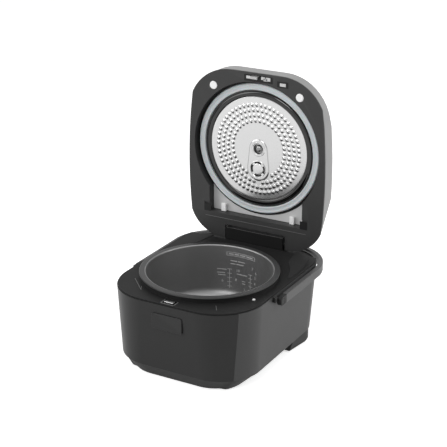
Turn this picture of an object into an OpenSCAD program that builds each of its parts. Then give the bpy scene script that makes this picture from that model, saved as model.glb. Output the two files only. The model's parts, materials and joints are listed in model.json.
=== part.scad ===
// Induction rice cooker with its lid standing open, its inner pan in place and its
// carrying handle lying behind the body. +Z is up and the front faces -Y.
// The origin is on the floor, under the middle of the whole open cooker.

/* [Pan] */
// Distance of the pan's axis in front of the origin
pan_ahead = 32; // [28:0.5:36]
// Height of the pan flange's top above the deck
flange_rise = 9.5; // [8:0.5:12]
// Outer radius of the pan's flange
flange_r = 107; // [105:0.5:108]
// Thickness of the pan's flange
flange_t = 2.5; // [2:0.1:3]
// Outer radius of the pan's wall
pan_r = 99; // [96:0.5:100]
// Thickness of the pan's wall
pan_wall = 2.4; // [1.6:0.1:3]
// Depth of the pan outside, from the flange's top to its bottom
pan_depth = 92; // [84:0.5:94]
// Radius between the pan's wall and its bottom
pan_corner_r = 20; // [12:0.5:26]

/* [Body shells] */
// Width of the body
body_w = 238; // [236:0.5:239]
// Pan axis to the front face of the body
body_front = 126; // [125:0.5:130]
// Pan axis to the rear face of the body
body_rear = 170; // [166:0.5:174]
// Corner radius of the body's front, seen from above
body_front_r = 74; // [60:1:80]
// Corner radius of the body's rear, seen from above
body_rear_r = 56; // [48:1:58]
// Height of the shells' upper rim above the floor
rim_h = 129.5; // [128.5:0.5:130.5]
// Height of the shells' lower edge above the floor
skirt_h = 20; // [17:0.5:23]
// Wall of the body shells
shell_wall = 2.4; // [2:0.1:3]
// How far the front is set in at the lower edge
draft_front = 10; // [4:0.5:12]
// How far each side is set in at the lower edge
draft_side = 5; // [3:0.5:6]
// How far the rear is set in at the lower edge
draft_rear = 10; // [4:0.5:12]
// Pan axis to the seam between the front panel and the rear shell
seam_ahead = 97; // [92:0.5:102]
// Gap at the seam between the two shells
seam_gap = 0.3; // [0.2:0.1:0.6]

/* [Base] */
// Height of the base's underside above the floor
base_lift = 1.5; // [1:0.1:2.2]
// Thickness of the base's floor and walls
base_wall = 2.5; // [2:0.1:3]
// How far the plinth's sides are set in at the floor
plinth_side_in = 22; // [18:0.5:24]
// How far the plinth's front is set in at the floor
plinth_front_in = 12; // [11:0.5:14]
// How far the plinth's rear is set in at the floor
plinth_rear_in = 20; // [14:0.5:22]
// Radius of a rubber foot
foot_r = 8; // [6:0.5:9]
// Height of the pads that carry the coil unit's posts, their radius
post_r = 4; // [3:0.5:4.5]
// Pan axis to each of the four posts that carry the pan housing
post_reach = 77; // [75:0.5:78]

/* [Deck] */
// Thickness of the deck's plate
deck_t = 2.5; // [2:0.1:3]
// Width of the margin between the deck's edge and the body's face
deck_margin = 1.2; // [0.6:0.1:2]
// Gap between the pan's wall and the deck's and the housing's bore
pan_gap = 2.6; // [2:0.1:3]
// Width of the raised ring under the pan's flange
ring_w = 3.2; // [2.5:0.1:3.6]
// Pan axis to the step down into the hinge well
well_back = 138; // [136:0.5:139]
// Depth of the hinge well below the deck
well_drop = 6.5; // [6:0.1:8]

/* [Pan housing and coil] */
// Wall of the pan housing
housing_wall = 2; // [1.5:0.1:2.5]
// Gap between the pan's bottom and the housing's floor
housing_gap = 1; // [0.8:0.1:2]
// Outer radius of the induction coil
coil_r = 70; // [60:0.5:71]
// Inner radius of the induction coil
coil_bore_r = 27; // [26:0.5:30]
// Thickness of the induction coil
coil_t = 6; // [4:0.5:6.5]
// Thickness of the coil holder's plate
holder_t = 2.5; // [2:0.1:3]
// Height and width of a ferrite bar
ferrite_t = 5; // [4:0.5:5.5]
// Number of ferrite bars
ferrite_count = 6; // [4:1:8]

/* [Temperature sensor] */
// Radius of the sensor's cap
sensor_r = 15; // [12:0.5:16]
// Travel of the sensor
sensor_travel = 4; // [3:0.5:4]
// Radius of the sensor's stem
sensor_stem_r = 5; // [4:0.25:5.5]

/* [Electronics] */
// Edge length of the fan's frame
fan_w = 60; // [50:1:60]
// Height of the fan's frame
fan_t = 15; // [12:0.5:15]
// Number of fan blades
fan_blades = 7; // [5:1:9]
// Width of the power board
board_w = 104; // [96:1:106]
// Depth of the power board
board_d = 72; // [66:1:74]
// Thickness of a circuit board
board_t = 1.6; // [1:0.1:2]
// Height of the heat sink
sink_h = 36; // [24:1:40]
// Number of heat sink fins
sink_fins = 8; // [5:1:9]
// Width of the mains inlet
inlet_w = 34; // [30:0.5:38]
// Height of the mains inlet
inlet_h = 20; // [18:0.5:24]
// Height of the mains inlet's middle above the floor
inlet_z = 42; // [36:0.5:50]

/* [Release button and latch] */
// Width of the release button
button_w = 51; // [44:0.5:54]
// Height of the release button
button_h = 24.8; // [22:0.1:26]
// How far the button's middle lies below the rim
button_drop = 27; // [26:0.5:29]
// Gap around the release button
button_gap = 0.5; // [0.3:0.05:0.8]
// Travel of the button and of the latch it pushes
button_travel = 3; // [2.6:0.1:3.2]
// Radius of the button's stem
stem_r = 4; // [3:0.25:4.5]
// Width of the latch's bar
latch_w = 15; // [12:0.5:17]
// Height of the latch's bar
latch_t = 4; // [3:0.1:4.4]
// How far the striker's nose reaches under the latch's bar
latch_bite = 2.3; // [1.8:0.1:2.4]

/* [Lid] */
// How far each side of the lid stands out over the body
lid_over = 1.5; // [0.5:0.25:1.5]
// Pan axis to the lid's front edge
lid_front = 125.2; // [124.6:0.1:126]
// Pan axis to the lid's rear edge
lid_rear = 157.4; // [156:0.1:158]
// Corner radius of the lid's front
lid_front_r = 76; // [64:1:80]
// Corner radius of the lid's rear
lid_rear_r = 62; // [52:1:64]
// Radius of the bow of the lid's sides, seen from above
lid_bow_r = 900; // [800:20:1200]
// Height of the lid's face above the deck when closed
lid_gap = 2.1; // [1.8:0.1:2.4]
// Thickness of the lid at its front edge
lid_front_t = 24; // [22:0.5:25]
// Thickness of the lid at its sides
lid_side_t = 34; // [32:0.5:34.5]
// Thickness of the lid at its rear corners
lid_rear_t = 6; // [5:0.5:8]
// Thickness of the lid over its hinge
lid_ear_t = 17; // [16.5:0.5:19]
// Thickness of the lid at its crown
lid_crown_t = 44; // [43:0.5:46.5]
// Wall of the lid's shell
lid_wall = 2.4; // [2:0.1:3]
// Thickness of the lid liner's face plate
liner_t = 2.4; // [2:0.1:3]
// Radius of the round recess in the lid's face
recess_r = 110; // [109.5:0.1:110.5]
// Half width of the pocket behind the recess
pocket_half = 83; // [78:0.5:85]
// Pan axis to the rear wall of that pocket
pocket_back = 115; // [112:0.5:116]
// Depth of that pocket
pocket_d = 15; // [12:0.5:15]
// Radius of a lid bumper
bumper_r = 6.5; // [5:0.25:7]

/* [Hinge] */
// Pan axis to the hinge's axis
hinge_back = 148.7; // [148:0.1:149]
// Height of the hinge's axis above the deck
hinge_rise = 7.2; // [6.9:0.1:7.5]
// Radius of the hinge's shaft
shaft_r = 3; // [2.5:0.1:3]
// Running clearance of a shaft or pin in its bore
running_gap = 0.05; // [0.02:0.01:0.08]
// Half width of the hinge tower on the body
tower_half = 51.5; // [46:0.5:52]
// Gap between the tower and the lid's ears
ear_gap = 2.5; // [2:0.1:3]
// Distance of the notch's wall in the lid from the hinge's axis
notch_reach = 15.8; // [15.5:0.1:16.2]
// Depth of the lid's hinge bosses
boss_l = 8; // [6:0.5:10]
// Radius of the lid's hinge bosses
boss_r = 7; // [6:0.25:7.5]

/* [Inner lid] */
// Radius of the steel plate
plate_r = 90; // [88:0.5:90.5]
// Thickness of the steel plate
plate_t = 0.8; // [0.6:0.1:1]
// Radius of the plate's rolled rim
roll_r = 1.5; // [1.2:0.1:1.6]
// Inner radius of the gasket
gasket_r0 = 96; // [95:0.5:97]
// Outer radius of the gasket
gasket_r1 = 106; // [104:0.5:106]
// Height of the gasket above the pan's flange
gasket_gap = 1; // [0.5:0.1:1.2]
// Thickness of the gasket
gasket_t = 4; // [3:0.1:4.2]
// Radius of the steam vent
vent_r = 8; // [6:0.25:8]
// Vent's axis to the relief valve's axis
valve_back = 33; // [31:0.5:38]
// Radius of the relief valve
valve_r = 13.7; // [11:0.1:14.5]

/* [Steam cap] */
// Radius of the steam cap
cap_r = 20.5; // [19:0.5:21]
// Pan axis to the steam cap's axis
cap_back = 10; // [9:0.5:12]
// How far the steam cap stands proud of the lid
cap_proud = 0.8; // [0.4:0.1:1.2]

/* [Control panel] */
// Width of the control panel
panel_w = 112; // [104:1:120]
// Depth of the control panel
panel_d = 36; // [34:0.5:37]
// Thickness of the control panel
panel_t = 1.6; // [1.2:0.1:2]
// Width of the display's window
display_w = 38; // [30:0.5:40]
// Depth of the display's window
display_d = 20; // [16:0.5:24]
// Width of a key
key_w = 18; // [14:0.5:18]
// Depth of a key
key_d = 10; // [8:0.5:11]
// Travel of a key
key_travel = 0.8; // [0.5:0.1:0.9]
// Gap around a key
key_gap = 0.4; // [0.3:0.05:0.5]

/* [Handle] */
// Gap between the body's side and the handle's arm
handle_gap = 2.25; // [2:0.25:3]
// Thickness of the handle's arms, seen from above
arm_t = 7.5; // [7:0.1:8.5]
// Height of the handle's arms
arm_h = 14; // [12:0.5:15]
// Pan axis to the handle's pivot, towards the front
pivot_ahead = 6.5; // [4:0.5:8]
// How far the handle's pivot lies below the rim
pivot_drop = 10; // [9:0.5:11]
// Pivot to the outer face of the handle's cross bar
handle_reach = 194.5; // [194:0.5:196]
// Outer corner radius of the handle
handle_r = 76; // [70:1:78]
// Radius of a handle pivot pin
pivot_r = 3; // [2.5:0.1:3.5]

/* [Hidden] */
$fn = 96;
HULL_FN = 64;
EPS = 0.01;
THIN = 0.2;
CLEAR = 0.3;      // gap between pieces that move past each other
FIT = 0.2;        // gap around pieces that are set in a hole of another
PY = -pan_ahead;
LID_OPEN = 90;

// Sizes of cuts that go right across, right behind and right above the part
ACROSS = 1.3 * body_w;
DEEP = 2 * body_rear;
TALL = 2 * rim_h;

// heights
deck_top = rim_h + deck_t;
flange_h = deck_top + flange_rise;
flange_under = flange_h - flange_t;
pan_floor_h = flange_h - pan_depth;
bore_r = pan_r + pan_gap;
housing_top = rim_h;
housing_floor = pan_floor_h - housing_gap;
housing_under = housing_floor - housing_wall;
housing_out_r = bore_r + housing_wall;
housing_flange_r = housing_out_r + 1.9;
housing_corner_r = pan_corner_r + pan_gap;
coil_air = 1.5;
holder_top = housing_under - coil_air - coil_t;
holder_under = holder_top - holder_t;
ferrite_under = holder_under - ferrite_t;
base_top = base_lift + base_wall;
well_floor = deck_top - well_drop;
rear_rim = well_floor + 1.5;

// hinge, lid and inner lid, with the lid closed
HY = PY + hinge_back;
hinge_h = deck_top + hinge_rise;
lid_w = body_w + 2 * lid_over;
face_h = deck_top + lid_gap;
liner_top = face_h + liner_t;
gasket_h = flange_h + gasket_gap;
carrier_h = gasket_h + gasket_t;
carrier_t = 3;
plate_h = carrier_h - roll_r - plate_t / 2 - 0.1;
recess_top = carrier_h + carrier_t + 2;
ceiling_t = 2;
pocket_top = face_h + pocket_d;
crown_h = face_h + lid_crown_t;
side_h = face_h + lid_side_t;
front_edge_h = face_h + lid_front_t;
rear_edge_h = face_h + lid_rear_t;
ear_h = face_h + lid_ear_t;
notch_half = tower_half + ear_gap;
notch_y = HY - notch_reach;
side_front = 50;
side_rear = 66;
wall_rear = 72;
ear_half = 66;
shoulder_h = 4.5;
shoulder_in = 5.5;
crown_side_in = 26;
crown_front = 54;
crown_rear = 70;

// control panel, on the crown
panel_y = PY - crown_front + 3 + panel_d / 2;
control_board_top = crown_h - 10;
key_x = display_w / 2 + 4 + key_w / 2;
key_y = 7.5;
KEYS = [[-1, -1], [-1, 1], [1, -1], [1, 1]];

// latch
body_front_y = PY - body_front;
button_z = rim_h - button_drop;
latch_front = body_front_y + 6.8;
guide_front = body_front_y + 9;
guide_wall = 1.5;
slider_t = 2;
slider_y = guide_front + guide_wall + 0.6;
guide_half = latch_w / 2 + 4.2;
guide_rear = PY - housing_flange_r - 0.3 - guide_wall;
guide_under = button_z - 11;
bar_top = deck_top + 1.5;
bar_under = bar_top - latch_t;
striker_t = 1.5;
slot_half = 14;

// handle
PIV_Y = PY - pivot_ahead;
pivot_h = rim_h - pivot_drop;
arm_in = body_w / 2 + handle_gap;
handle_half = arm_in + arm_t;
bar_y = PIV_Y + handle_reach;

// ---------- shared shapes ----------

// Outline seen from above: two corner radii at the front and two at the rear.
module plan(half, front, rear, rf, rr) {
    for (s = [-1, 1]) {
        translate([s * (half - rf), PY - front + rf]) circle(rf);
        translate([s * (half - rr), PY + rear - rr]) circle(rr);
    }
    polygon([
        [-(half - rf), PY - front], [half - rf, PY - front],
        [half, PY - front + rf], [half, PY + rear - rr],
        [half - rr, PY + rear], [-(half - rr), PY + rear],
        [-half, PY + rear - rr], [-half, PY - front + rf]
    ]);
}

module body_plan(inset) {
    plan(body_w / 2 - inset, body_front - inset, body_rear - inset, body_front_r - inset,
        body_rear_r - inset);
}

module skirt_plan(inset) {
    plan(body_w / 2 - draft_side - inset, body_front - draft_front - inset,
        body_rear - draft_rear - inset, body_front_r - draft_front - inset, body_rear_r - inset);
}

module plinth_plan(inset) {
    plan(body_w / 2 - plinth_side_in - inset, body_front - plinth_front_in - inset,
        body_rear - plinth_rear_in - inset, body_front_r - plinth_side_in - inset,
        body_rear_r - inset);
}

// Outline of the lid; its sides are arcs, widest at bow_ahead behind the pan's axis.
bow_ahead = 31;
module lid_plan(inset) {
    intersection() {
        plan(lid_w / 2 - inset, lid_front - inset, lid_rear - inset, lid_front_r - inset,
            lid_rear_r - inset);
        for_bow(inset, 1);
        for_bow(inset, -1);
    }
}

// Disc whose rim is the bow of one side of the lid.
module for_bow(inset, side) {
    translate([side * (lid_w / 2 - lid_bow_r), PY + bow_ahead]) circle(lid_bow_r - inset, $fn = 720);
}

// Solid body between its skirt and its rim; over lengthens it past both ends.
module body_solid(inset, over) {
    hull() {
        translate([0, 0, rim_h + over - THIN]) linear_extrude(THIN) body_plan(inset, $fn = HULL_FN);
        translate([0, 0, skirt_h - over]) linear_extrude(THIN) skirt_plan(inset, $fn = HULL_FN);
    }
}

// Half profile of a cup, round at its lower corner.
module cup_profile(r, h, corner) {
    translate([0, corner]) square([r, h - corner]);
    square([r - corner, corner + EPS]);
    translate([r - corner, corner]) circle(corner);
}

module half_plane() {
    translate([0, -DEEP]) square([DEEP, 2 * DEEP]);
}

// Rounded rectangle about the origin.
module pad(w, d, r) {
    square([w - 2 * r, d], center = true);
    square([w, d - 2 * r], center = true);
    for (x = [-1, 1], y = [-1, 1]) translate([x * (w / 2 - r), y * (d / 2 - r)]) circle(r);
}

// Coil spring along +Z from z = 0, as one swept tube.
SIDES = 6;
STEPS = 12;
function coil_point(r, wire, turns, len, i, k) =
    let (a = 360 * i / STEPS, b = 360 * k / SIDES, q = r + wire / 2 * cos(b))
    [q * cos(a), q * sin(a), wire / 2 + (len - wire) * i / (STEPS * turns) + wire / 2 * sin(b)];
module coil(r, wire, turns, len) {
    n = STEPS * turns;
    points = [for (i = [0 : n], k = [0 : SIDES - 1]) coil_point(r, wire, turns, len, i, k)];
    skin = [for (i = [0 : n - 1], k = [0 : SIDES - 1])
        let (a = i * SIDES, b = (i + 1) * SIDES, m = (k + 1) % SIDES)
        [a + k, b + k, b + m, a + m]];
    start = [[for (k = [0 : SIDES - 1]) k]];
    end = [[for (k = [SIDES - 1 : -1 : 0]) n * SIDES + k]];
    polyhedron(points = points, faces = concat(skin, start, end), convexity = 8);
}

// Moves what is drawn with the lid closed to the open lid.
module on_lid() {
    translate([0, HY, hinge_h]) rotate([-LID_OPEN, 0, 0]) translate([0, -HY, -hinge_h]) children();
}

module around_pan(reach, count, first = 0) {
    for (i = [0 : count - 1])
        translate([0, PY, 0]) rotate([0, 0, first + 360 * i / count]) translate([reach, 0, 0])
            children();
}

module along_x(x0, x1, y, z, r) {
    translate([x0, y, z]) rotate([0, 90, 0]) cylinder(r = r, h = x1 - x0);
}

// ---------- base ----------
lug_front = PY + 62;
lug_rear = PY + 122;
lug_in = 24;
BOARD_X = 33;
board_y = PY + 104;
board_h = base_top + 5;
FAN_X = -56;
fan_y = PY + 92;
SCREWS = 4;
screw_r = 1.5;
screw_head_r = 3;
screw_head_t = 1.4;

module base_solid(inset, low, high) {
    hull() {
        translate([0, 0, high - THIN]) linear_extrude(THIN) skirt_plan(1.5 + inset, $fn = HULL_FN);
        translate([0, 0, low]) linear_extrude(THIN) plinth_plan(inset, $fn = HULL_FN);
    }
}

module foot_places() {
    for (s = [-1, 1]) {
        translate([s * 62, PY - 84]) children();
        translate([s * (body_w / 2 - draft_side - 13), (lug_front + lug_rear) / 2]) children();
    }
}

module board_corners() {
    for (x = [-1, 1], y = [-1, 1])
        translate([BOARD_X + x * (board_w / 2 - 6), board_y + y * (board_d / 2 - 20)]) children();
}

module base() color([0.15, 0.15, 0.16]) {
    difference() {
        union() {
            difference() {
                base_solid(0, base_lift, skirt_h);
                base_solid(base_wall, base_top, skirt_h + 1);
            }
            // side lugs that carry the rear feet
            difference() {
                intersection() {
                    translate([0, 0, base_lift]) linear_extrude(skirt_h - base_lift)
                        skirt_plan(1.5);
                    for (s = [-1, 1])
                        translate([s * (body_w / 2 - draft_side - lug_in / 2), 0, 0])
                            translate([-lug_in / 2, lug_front, 0])
                                cube([lug_in, lug_rear - lug_front, skirt_h]);
                }
                base_solid(base_wall, base_top, skirt_h + 1);
            }
            around_pan(post_reach, SCREWS, 45)
                translate([0, 0, base_top - EPS]) cylinder(r = post_r, h = housing_under - base_top);
            board_corners() translate([0, 0, base_top - EPS])
                cylinder(r = 3.5, h = board_h - base_top + EPS);
        }
        foot_places() translate([0, 0, base_lift - 1]) cylinder(r = foot_r + FIT, h = 1.7);
        around_pan(post_reach, SCREWS, 45) translate([0, 0, -1]) {
            cylinder(r = screw_r + 0.1, h = 30);
            cylinder(r = screw_head_r + FIT, h = 1 + base_lift + 0.2 + screw_head_t);
        }
        // air slots under the fan
        for (i = [-3 : 3])
            translate([FAN_X - 20, fan_y + i * 7 - 1.5, 0]) cube([40, 3, base_top + 1]);
    }
}

module rubber_feet() color([0.1, 0.1, 0.1])
    foot_places() cylinder(r = foot_r, h = base_lift + 0.7);

module base_screws() color("silver")
    around_pan(post_reach, SCREWS, 45) translate([0, 0, base_lift + 0.2]) {
        cylinder(r = screw_head_r, h = screw_head_t);
        cylinder(r = screw_r, h = 18);
    }

// ---------- body shells ----------
module body_wall_ring() {
    difference() {
        body_solid(0, 0);
        body_solid(shell_wall, 1);
        // lower rim behind the step of the hinge well
        translate([-ACROSS / 2, PY + well_back, rear_rim]) cube([ACROSS, DEEP, TALL]);
    }
}

module button_hole(gap) {
    translate([0, body_front_y, button_z]) rotate([90, 0, 0])
        translate([0, 0, -12]) linear_extrude(24) pad(button_w + 2 * gap, button_h + 2 * gap, 3 + gap);
}

module front_panel() color([0.24, 0.24, 0.25]) difference() {
    body_wall_ring();
    translate([-ACROSS / 2, PY - seam_ahead - seam_gap / 2, 0]) cube([ACROSS, DEEP, TALL]);
    button_hole(button_gap);
}

INLET_X = -43;
module inlet_box(gap, y0, y1) {
    translate([INLET_X, 0, inlet_z])
        translate([-inlet_w / 2 - gap, y0, -inlet_h / 2 - gap])
            cube([inlet_w + 2 * gap, y1 - y0, inlet_h + 2 * gap]);
}

module rear_shell() color([0.34, 0.34, 0.35]) difference() {
    body_wall_ring();
    translate([-ACROSS / 2, PY - seam_ahead + seam_gap / 2 - DEEP, 0]) cube([ACROSS, DEEP, TALL]);
    along_x(-ACROSS / 2, ACROSS / 2, PIV_Y, pivot_h, pivot_r + running_gap);
    inlet_box(FIT, PY + body_rear - 40, PY + body_rear + 10);
    for (s = [-1, 1], y = [0 : 2]) lug_screw_hole(s, y);
}

// small blind pegs of the stop lugs sit in these holes
module lug_screw_hole(s, i) {
    along_x(s * body_w / 2 - 8, s * body_w / 2 + 8, lug_y, lug_z - 4 + 4 * i, 0.8);
}

lug_y = PIV_Y - arm_h / 2 - 6;
lug_z = pivot_h + 7;
module stop_lugs() color([0.12, 0.12, 0.12]) for (s = [-1, 1]) mirror([s < 0 ? 1 : 0, 0, 0]) {
    difference() {
        translate([body_w / 2 - 3, lug_y - 3, lug_z - 5]) cube([8, 6, 8]);
        body_solid(-CLEAR / 3, 1);
    }
}

// ---------- deck ----------
ring_top = flange_under - CLEAR;
step_t = 2.4;
module deck() color([0.16, 0.16, 0.17]) difference() {
    union() {
        difference() {
            translate([0, 0, rim_h]) linear_extrude(deck_t) body_plan(deck_margin);
            translate([-ACROSS / 2, PY + well_back, rim_h - 1]) cube([ACROSS, DEEP, deck_t + 2]);
        }
        // floor of the hinge well, and the step down to it
        intersection() {
            translate([0, 0, well_floor - deck_t]) linear_extrude(deck_top - well_floor + deck_t)
                body_plan(shell_wall + 1);
            union() {
                translate([-ACROSS / 2, PY + well_back - step_t, well_floor - deck_t])
                    cube([ACROSS, step_t, deck_top - well_floor + deck_t]);
                translate([-ACROSS / 2, PY + well_back - step_t, well_floor - deck_t])
                    cube([ACROSS, DEEP, deck_t]);
            }
        }
        translate([0, PY, rim_h]) cylinder(r = bore_r + ring_w, h = ring_top - rim_h);
    }
    translate([0, PY, 0]) cylinder(r = bore_r, h = TALL);
    // slot for the striker and the latch
    translate([-latch_w / 2 - 1.5, latch_front - 3, rim_h - 1])
        cube([latch_w + 3, 10.2 + button_travel, deck_t + 2]);
}

// ---------- pan housing, coil ----------
module pan_housing() color([0.2, 0.2, 0.21]) translate([0, PY, 0]) difference() {
    rotate_extrude() intersection() {
        half_plane();
        difference() {
            union() {
                translate([0, housing_under])
                    cup_profile(housing_out_r, housing_top - housing_under,
                        housing_corner_r + housing_wall);
                translate([0, housing_top - 2]) square([housing_flange_r, 2]);
            }
            translate([0, housing_floor])
                cup_profile(bore_r, housing_top - housing_floor + 1, housing_corner_r);
        }
    }
    cylinder(r = sensor_r + 1.5, h = housing_floor + 1);
    // the flange is cut back behind the latch and in front of the hinge well
    translate([-ACROSS / 2, well_back - step_t - CLEAR, 0]) cube([ACROSS, DEEP, TALL]);
}

module induction_coil() color([0.72, 0.42, 0.2]) translate([0, PY, 0]) rotate_extrude()
    translate([coil_bore_r, holder_top]) square([coil_r - coil_bore_r, coil_t]);

module coil_holder() color([0.82, 0.8, 0.74]) {
    difference() {
        union() {
            translate([0, PY, holder_under]) cylinder(r = coil_r + 2, h = holder_t);
            around_pan(post_reach, 3, 0) translate([0, 0, holder_under])
                cylinder(r = post_r, h = housing_under - holder_under);
            around_pan(post_reach - 6, 3, 0) translate([-4, -4, holder_under]) cube([9, 8, holder_t]);
        }
        translate([0, PY, holder_under - 1]) cylinder(r = 14 + FIT, h = holder_t + 2);
    }
}

bar_w = 10;
module ferrite_bars() color([0.25, 0.25, 0.27]) around_pan(coil_bore_r - 2, ferrite_count, 30)
    translate([0, -bar_w / 2, ferrite_under]) cube([coil_r - coil_bore_r, bar_w, ferrite_t]);

// ---------- temperature sensor ----------
cap_top = pan_floor_h - CLEAR;
cap_t = 3;
tube_r = 14;
tube_under = ferrite_under - 6;
module sensor_holder() color([0.85, 0.84, 0.8]) translate([0, PY, 0]) difference() {
    union() {
        translate([0, 0, tube_under]) cylinder(r = tube_r, h = holder_top - tube_under);
        translate([0, 0, holder_top]) cylinder(r = coil_bore_r - 2, h = 1.5);
    }
    translate([0, 0, tube_under + 2]) cylinder(r = tube_r - 3, h = 60);
    translate([0, 0, tube_under - 1]) cylinder(r = sensor_stem_r + running_gap, h = 4);
}

module sensor_cap() color("silver") translate([0, PY, 0]) {
    translate([0, 0, cap_top - cap_t]) cylinder(r = sensor_r, h = cap_t);
    translate([0, 0, tube_under - 6])
        cylinder(r = sensor_stem_r, h = cap_top - cap_t - tube_under + 6 + EPS);
}

module sensor_spring() color("silver") translate([0, PY, tube_under + 2])
    coil(sensor_stem_r + 2.5, 1.2, 6, cap_top - cap_t - tube_under - 2);

// ---------- fan ----------
fan_bore_r = fan_w / 2 - 1.5;
hub_r = 13;
module fan_frame() color([0.1, 0.1, 0.11]) translate([FAN_X, fan_y, base_top]) {
    difference() {
        linear_extrude(fan_t) pad(fan_w, fan_w, 4);
        translate([0, 0, -1]) cylinder(r = fan_bore_r, h = fan_t + 2);
    }
    for (i = [0 : 2]) rotate([0, 0, 120 * i + 30]) translate([0, -2, 0]) cube([fan_bore_r + 0.5, 4, 1.5]);
    cylinder(r = hub_r - 1, h = 3);
    cylinder(r = 1.5, h = fan_t - 4);
}

module fan_impeller() color([0.18, 0.18, 0.19]) translate([FAN_X, fan_y, base_top]) difference() {
    union() {
        translate([0, 0, 3.4]) cylinder(r = hub_r, h = fan_t - 4.4);
        for (i = [0 : fan_blades - 1]) rotate([0, 0, 360 * i / fan_blades])
            translate([hub_r - 1, 0, 3.4 + (fan_t - 4.4) / 2]) rotate([35, 0, 0])
                translate([0, -0.8, -4.4]) cube([fan_bore_r - hub_r - 0.6, 1.6, 8.8]);
    }
    translate([0, 0, 3]) cylinder(r = 1.5 + running_gap, h = fan_t - 6.6);
}

// ---------- power board ----------
module power_board() color([0.15, 0.35, 0.2]) translate([BOARD_X, board_y, board_h])
    linear_extrude(board_t) intersection() {
        square([board_w, board_d], center = true);
        translate([-BOARD_X, -board_y]) plinth_plan(base_wall + 1);
    }

parts_h = board_h + board_t;
// round parts on the board as [x, y, radius, height], square ones as [x, y, width, depth, height]
choke = [-34, -14, 11, 14];
capacitor = [-38, 14, 8, 26];
rectifier = [-12, -22, 26, 14, 16];
relay = [22, -24, 18, 22, 14];
module power_components() color([0.2, 0.2, 0.5]) translate([BOARD_X, board_y, parts_h]) {
    for (p = [choke, capacitor]) translate([p[0], p[1], 0]) cylinder(r = p[2], h = p[3]);
    for (p = [rectifier, relay]) translate([p[0], p[1], 0]) cube([p[2], p[3], p[4]]);
}

sink_w = 46;
sink_d = 18;
sink_foot = 4;
fin_t = 1.4;
module heat_sink() color([0.75, 0.76, 0.78]) translate([BOARD_X - 24, board_y + 8, parts_h]) {
    cube([sink_w, sink_d, sink_foot]);
    for (i = [0 : sink_fins - 1]) translate([i * (sink_w - fin_t) / (sink_fins - 1), 0, sink_foot - EPS])
        cube([fin_t, sink_d, sink_h - sink_foot]);
}

module mains_inlet() color([0.13, 0.13, 0.14]) {
    rear_at_inlet = PY + body_rear - draft_rear * (rim_h - inlet_z) / (rim_h - skirt_h);
    difference() {
        inlet_box(0, rear_at_inlet - 22, rear_at_inlet + 0.8);
        translate([INLET_X, 0, inlet_z]) translate([-inlet_w / 2 + 3, rear_at_inlet - 14, -inlet_h / 2 + 3])
            cube([inlet_w - 6, 20, inlet_h - 6]);
    }
    for (s = [-1, 1]) translate([INLET_X + s * 7, rear_at_inlet - 4, inlet_z]) rotate([90, 0, 0])
        cylinder(r = 1.6, h = 11);
}

// ---------- hinge ----------
tower_front = HY - 8.3;
tower_rear = HY + 11;
tower_top = hinge_h + 12.2;
tower_wall = 2;
module hinge_tower() color([0.14, 0.14, 0.15]) difference() {
    union() {
        translate([-tower_half, tower_front, well_floor])
            cube([2 * tower_half, tower_rear - tower_front, tower_top - 3 - well_floor]);
        translate([-tower_half, tower_front, tower_top - 3 - EPS])
            cube([2 * tower_half, tower_rear - tower_front - 3, 3 + EPS]);
        along_x(-tower_half, tower_half, tower_rear - 3, tower_top - 3, 3);
    }
    translate([-tower_half + 3, tower_front + tower_wall, well_floor - 1])
        cube([2 * tower_half - 6, tower_rear - tower_front - 2 * tower_wall,
            tower_top - well_floor + 1 - tower_wall - 1]);
    along_x(-tower_half - 1, tower_half + 1, HY, hinge_h, shaft_r + running_gap);
}

shaft_half = notch_half + boss_l - 0.5;
module hinge_shaft() color("silver") along_x(-shaft_half, shaft_half, HY, hinge_h, shaft_r);

module hinge_springs() color([0.6, 0.6, 0.62]) for (s = [-1, 1])
    translate([s > 0 ? 12 : -tower_half + 6, HY, hinge_h]) rotate([0, 90, 0])
        coil(shaft_r + 1.9, 1.5, 12, tower_half - 18);

// ---------- latch and button ----------
guide_top = rim_h;
module latch_guide() color([0.2, 0.2, 0.2]) difference() {
    translate([-guide_half, guide_front, guide_under])
        cube([2 * guide_half, guide_rear + guide_wall - guide_front, guide_top - guide_under]);
    translate([-guide_half + guide_wall, guide_front + guide_wall, guide_under + guide_wall])
        cube([2 * (guide_half - guide_wall), guide_rear - guide_front - guide_wall, 60]);
    // front wall is low so that the latch's bar can lie over it
    translate([-guide_half - 1, guide_front - 1, button_z + 10])
        cube([2 * guide_half + 2, guide_wall + 1 + EPS, 60]);
    translate([0, guide_front - 1, button_z]) rotate([-90, 0, 0]) cylinder(r = stem_r + running_gap, h = 3);
}

slider_half = guide_half - guide_wall - CLEAR;
module latch_slider() color("silver") {
    translate([-slider_half, slider_y, guide_under + guide_wall + CLEAR])
        cube([2 * slider_half, slider_t, bar_under - 6 - guide_under - guide_wall - CLEAR]);
    translate([-latch_w / 2, slider_y, bar_under - 8]) cube([latch_w, slider_t, bar_top - bar_under + 8]);
    translate([-latch_w / 2, latch_front, bar_under])
        cube([latch_w, slider_y + slider_t - latch_front, latch_t]);
}

module latch_spring() color("silver") translate([0, slider_y + slider_t, button_z + 6]) rotate([-90, 0, 0])
    coil(3.4, 0.6, 3, guide_rear - slider_y - slider_t);

button_wall = 2;
module release_button() color([0.26, 0.26, 0.27]) difference() {
    union() {
        translate([0, body_front_y, button_z]) rotate([90, 0, 0])
            translate([0, 0, -5.5]) linear_extrude(5.5) pad(button_w, button_h, 3);
        translate([0, body_front_y + 1, button_z]) rotate([-90, 0, 0])
            cylinder(r = stem_r, h = slider_y - CLEAR - body_front_y - 1);
    }
    difference() {
        translate([0, body_front_y + button_wall, button_z]) rotate([-90, 0, 0])
            linear_extrude(20) pad(button_w - 2 * button_wall, button_h - 2 * button_wall, 1);
        translate([0, body_front_y, button_z]) rotate([-90, 0, 0]) cylinder(r = stem_r, h = 40);
    }
}

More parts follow.
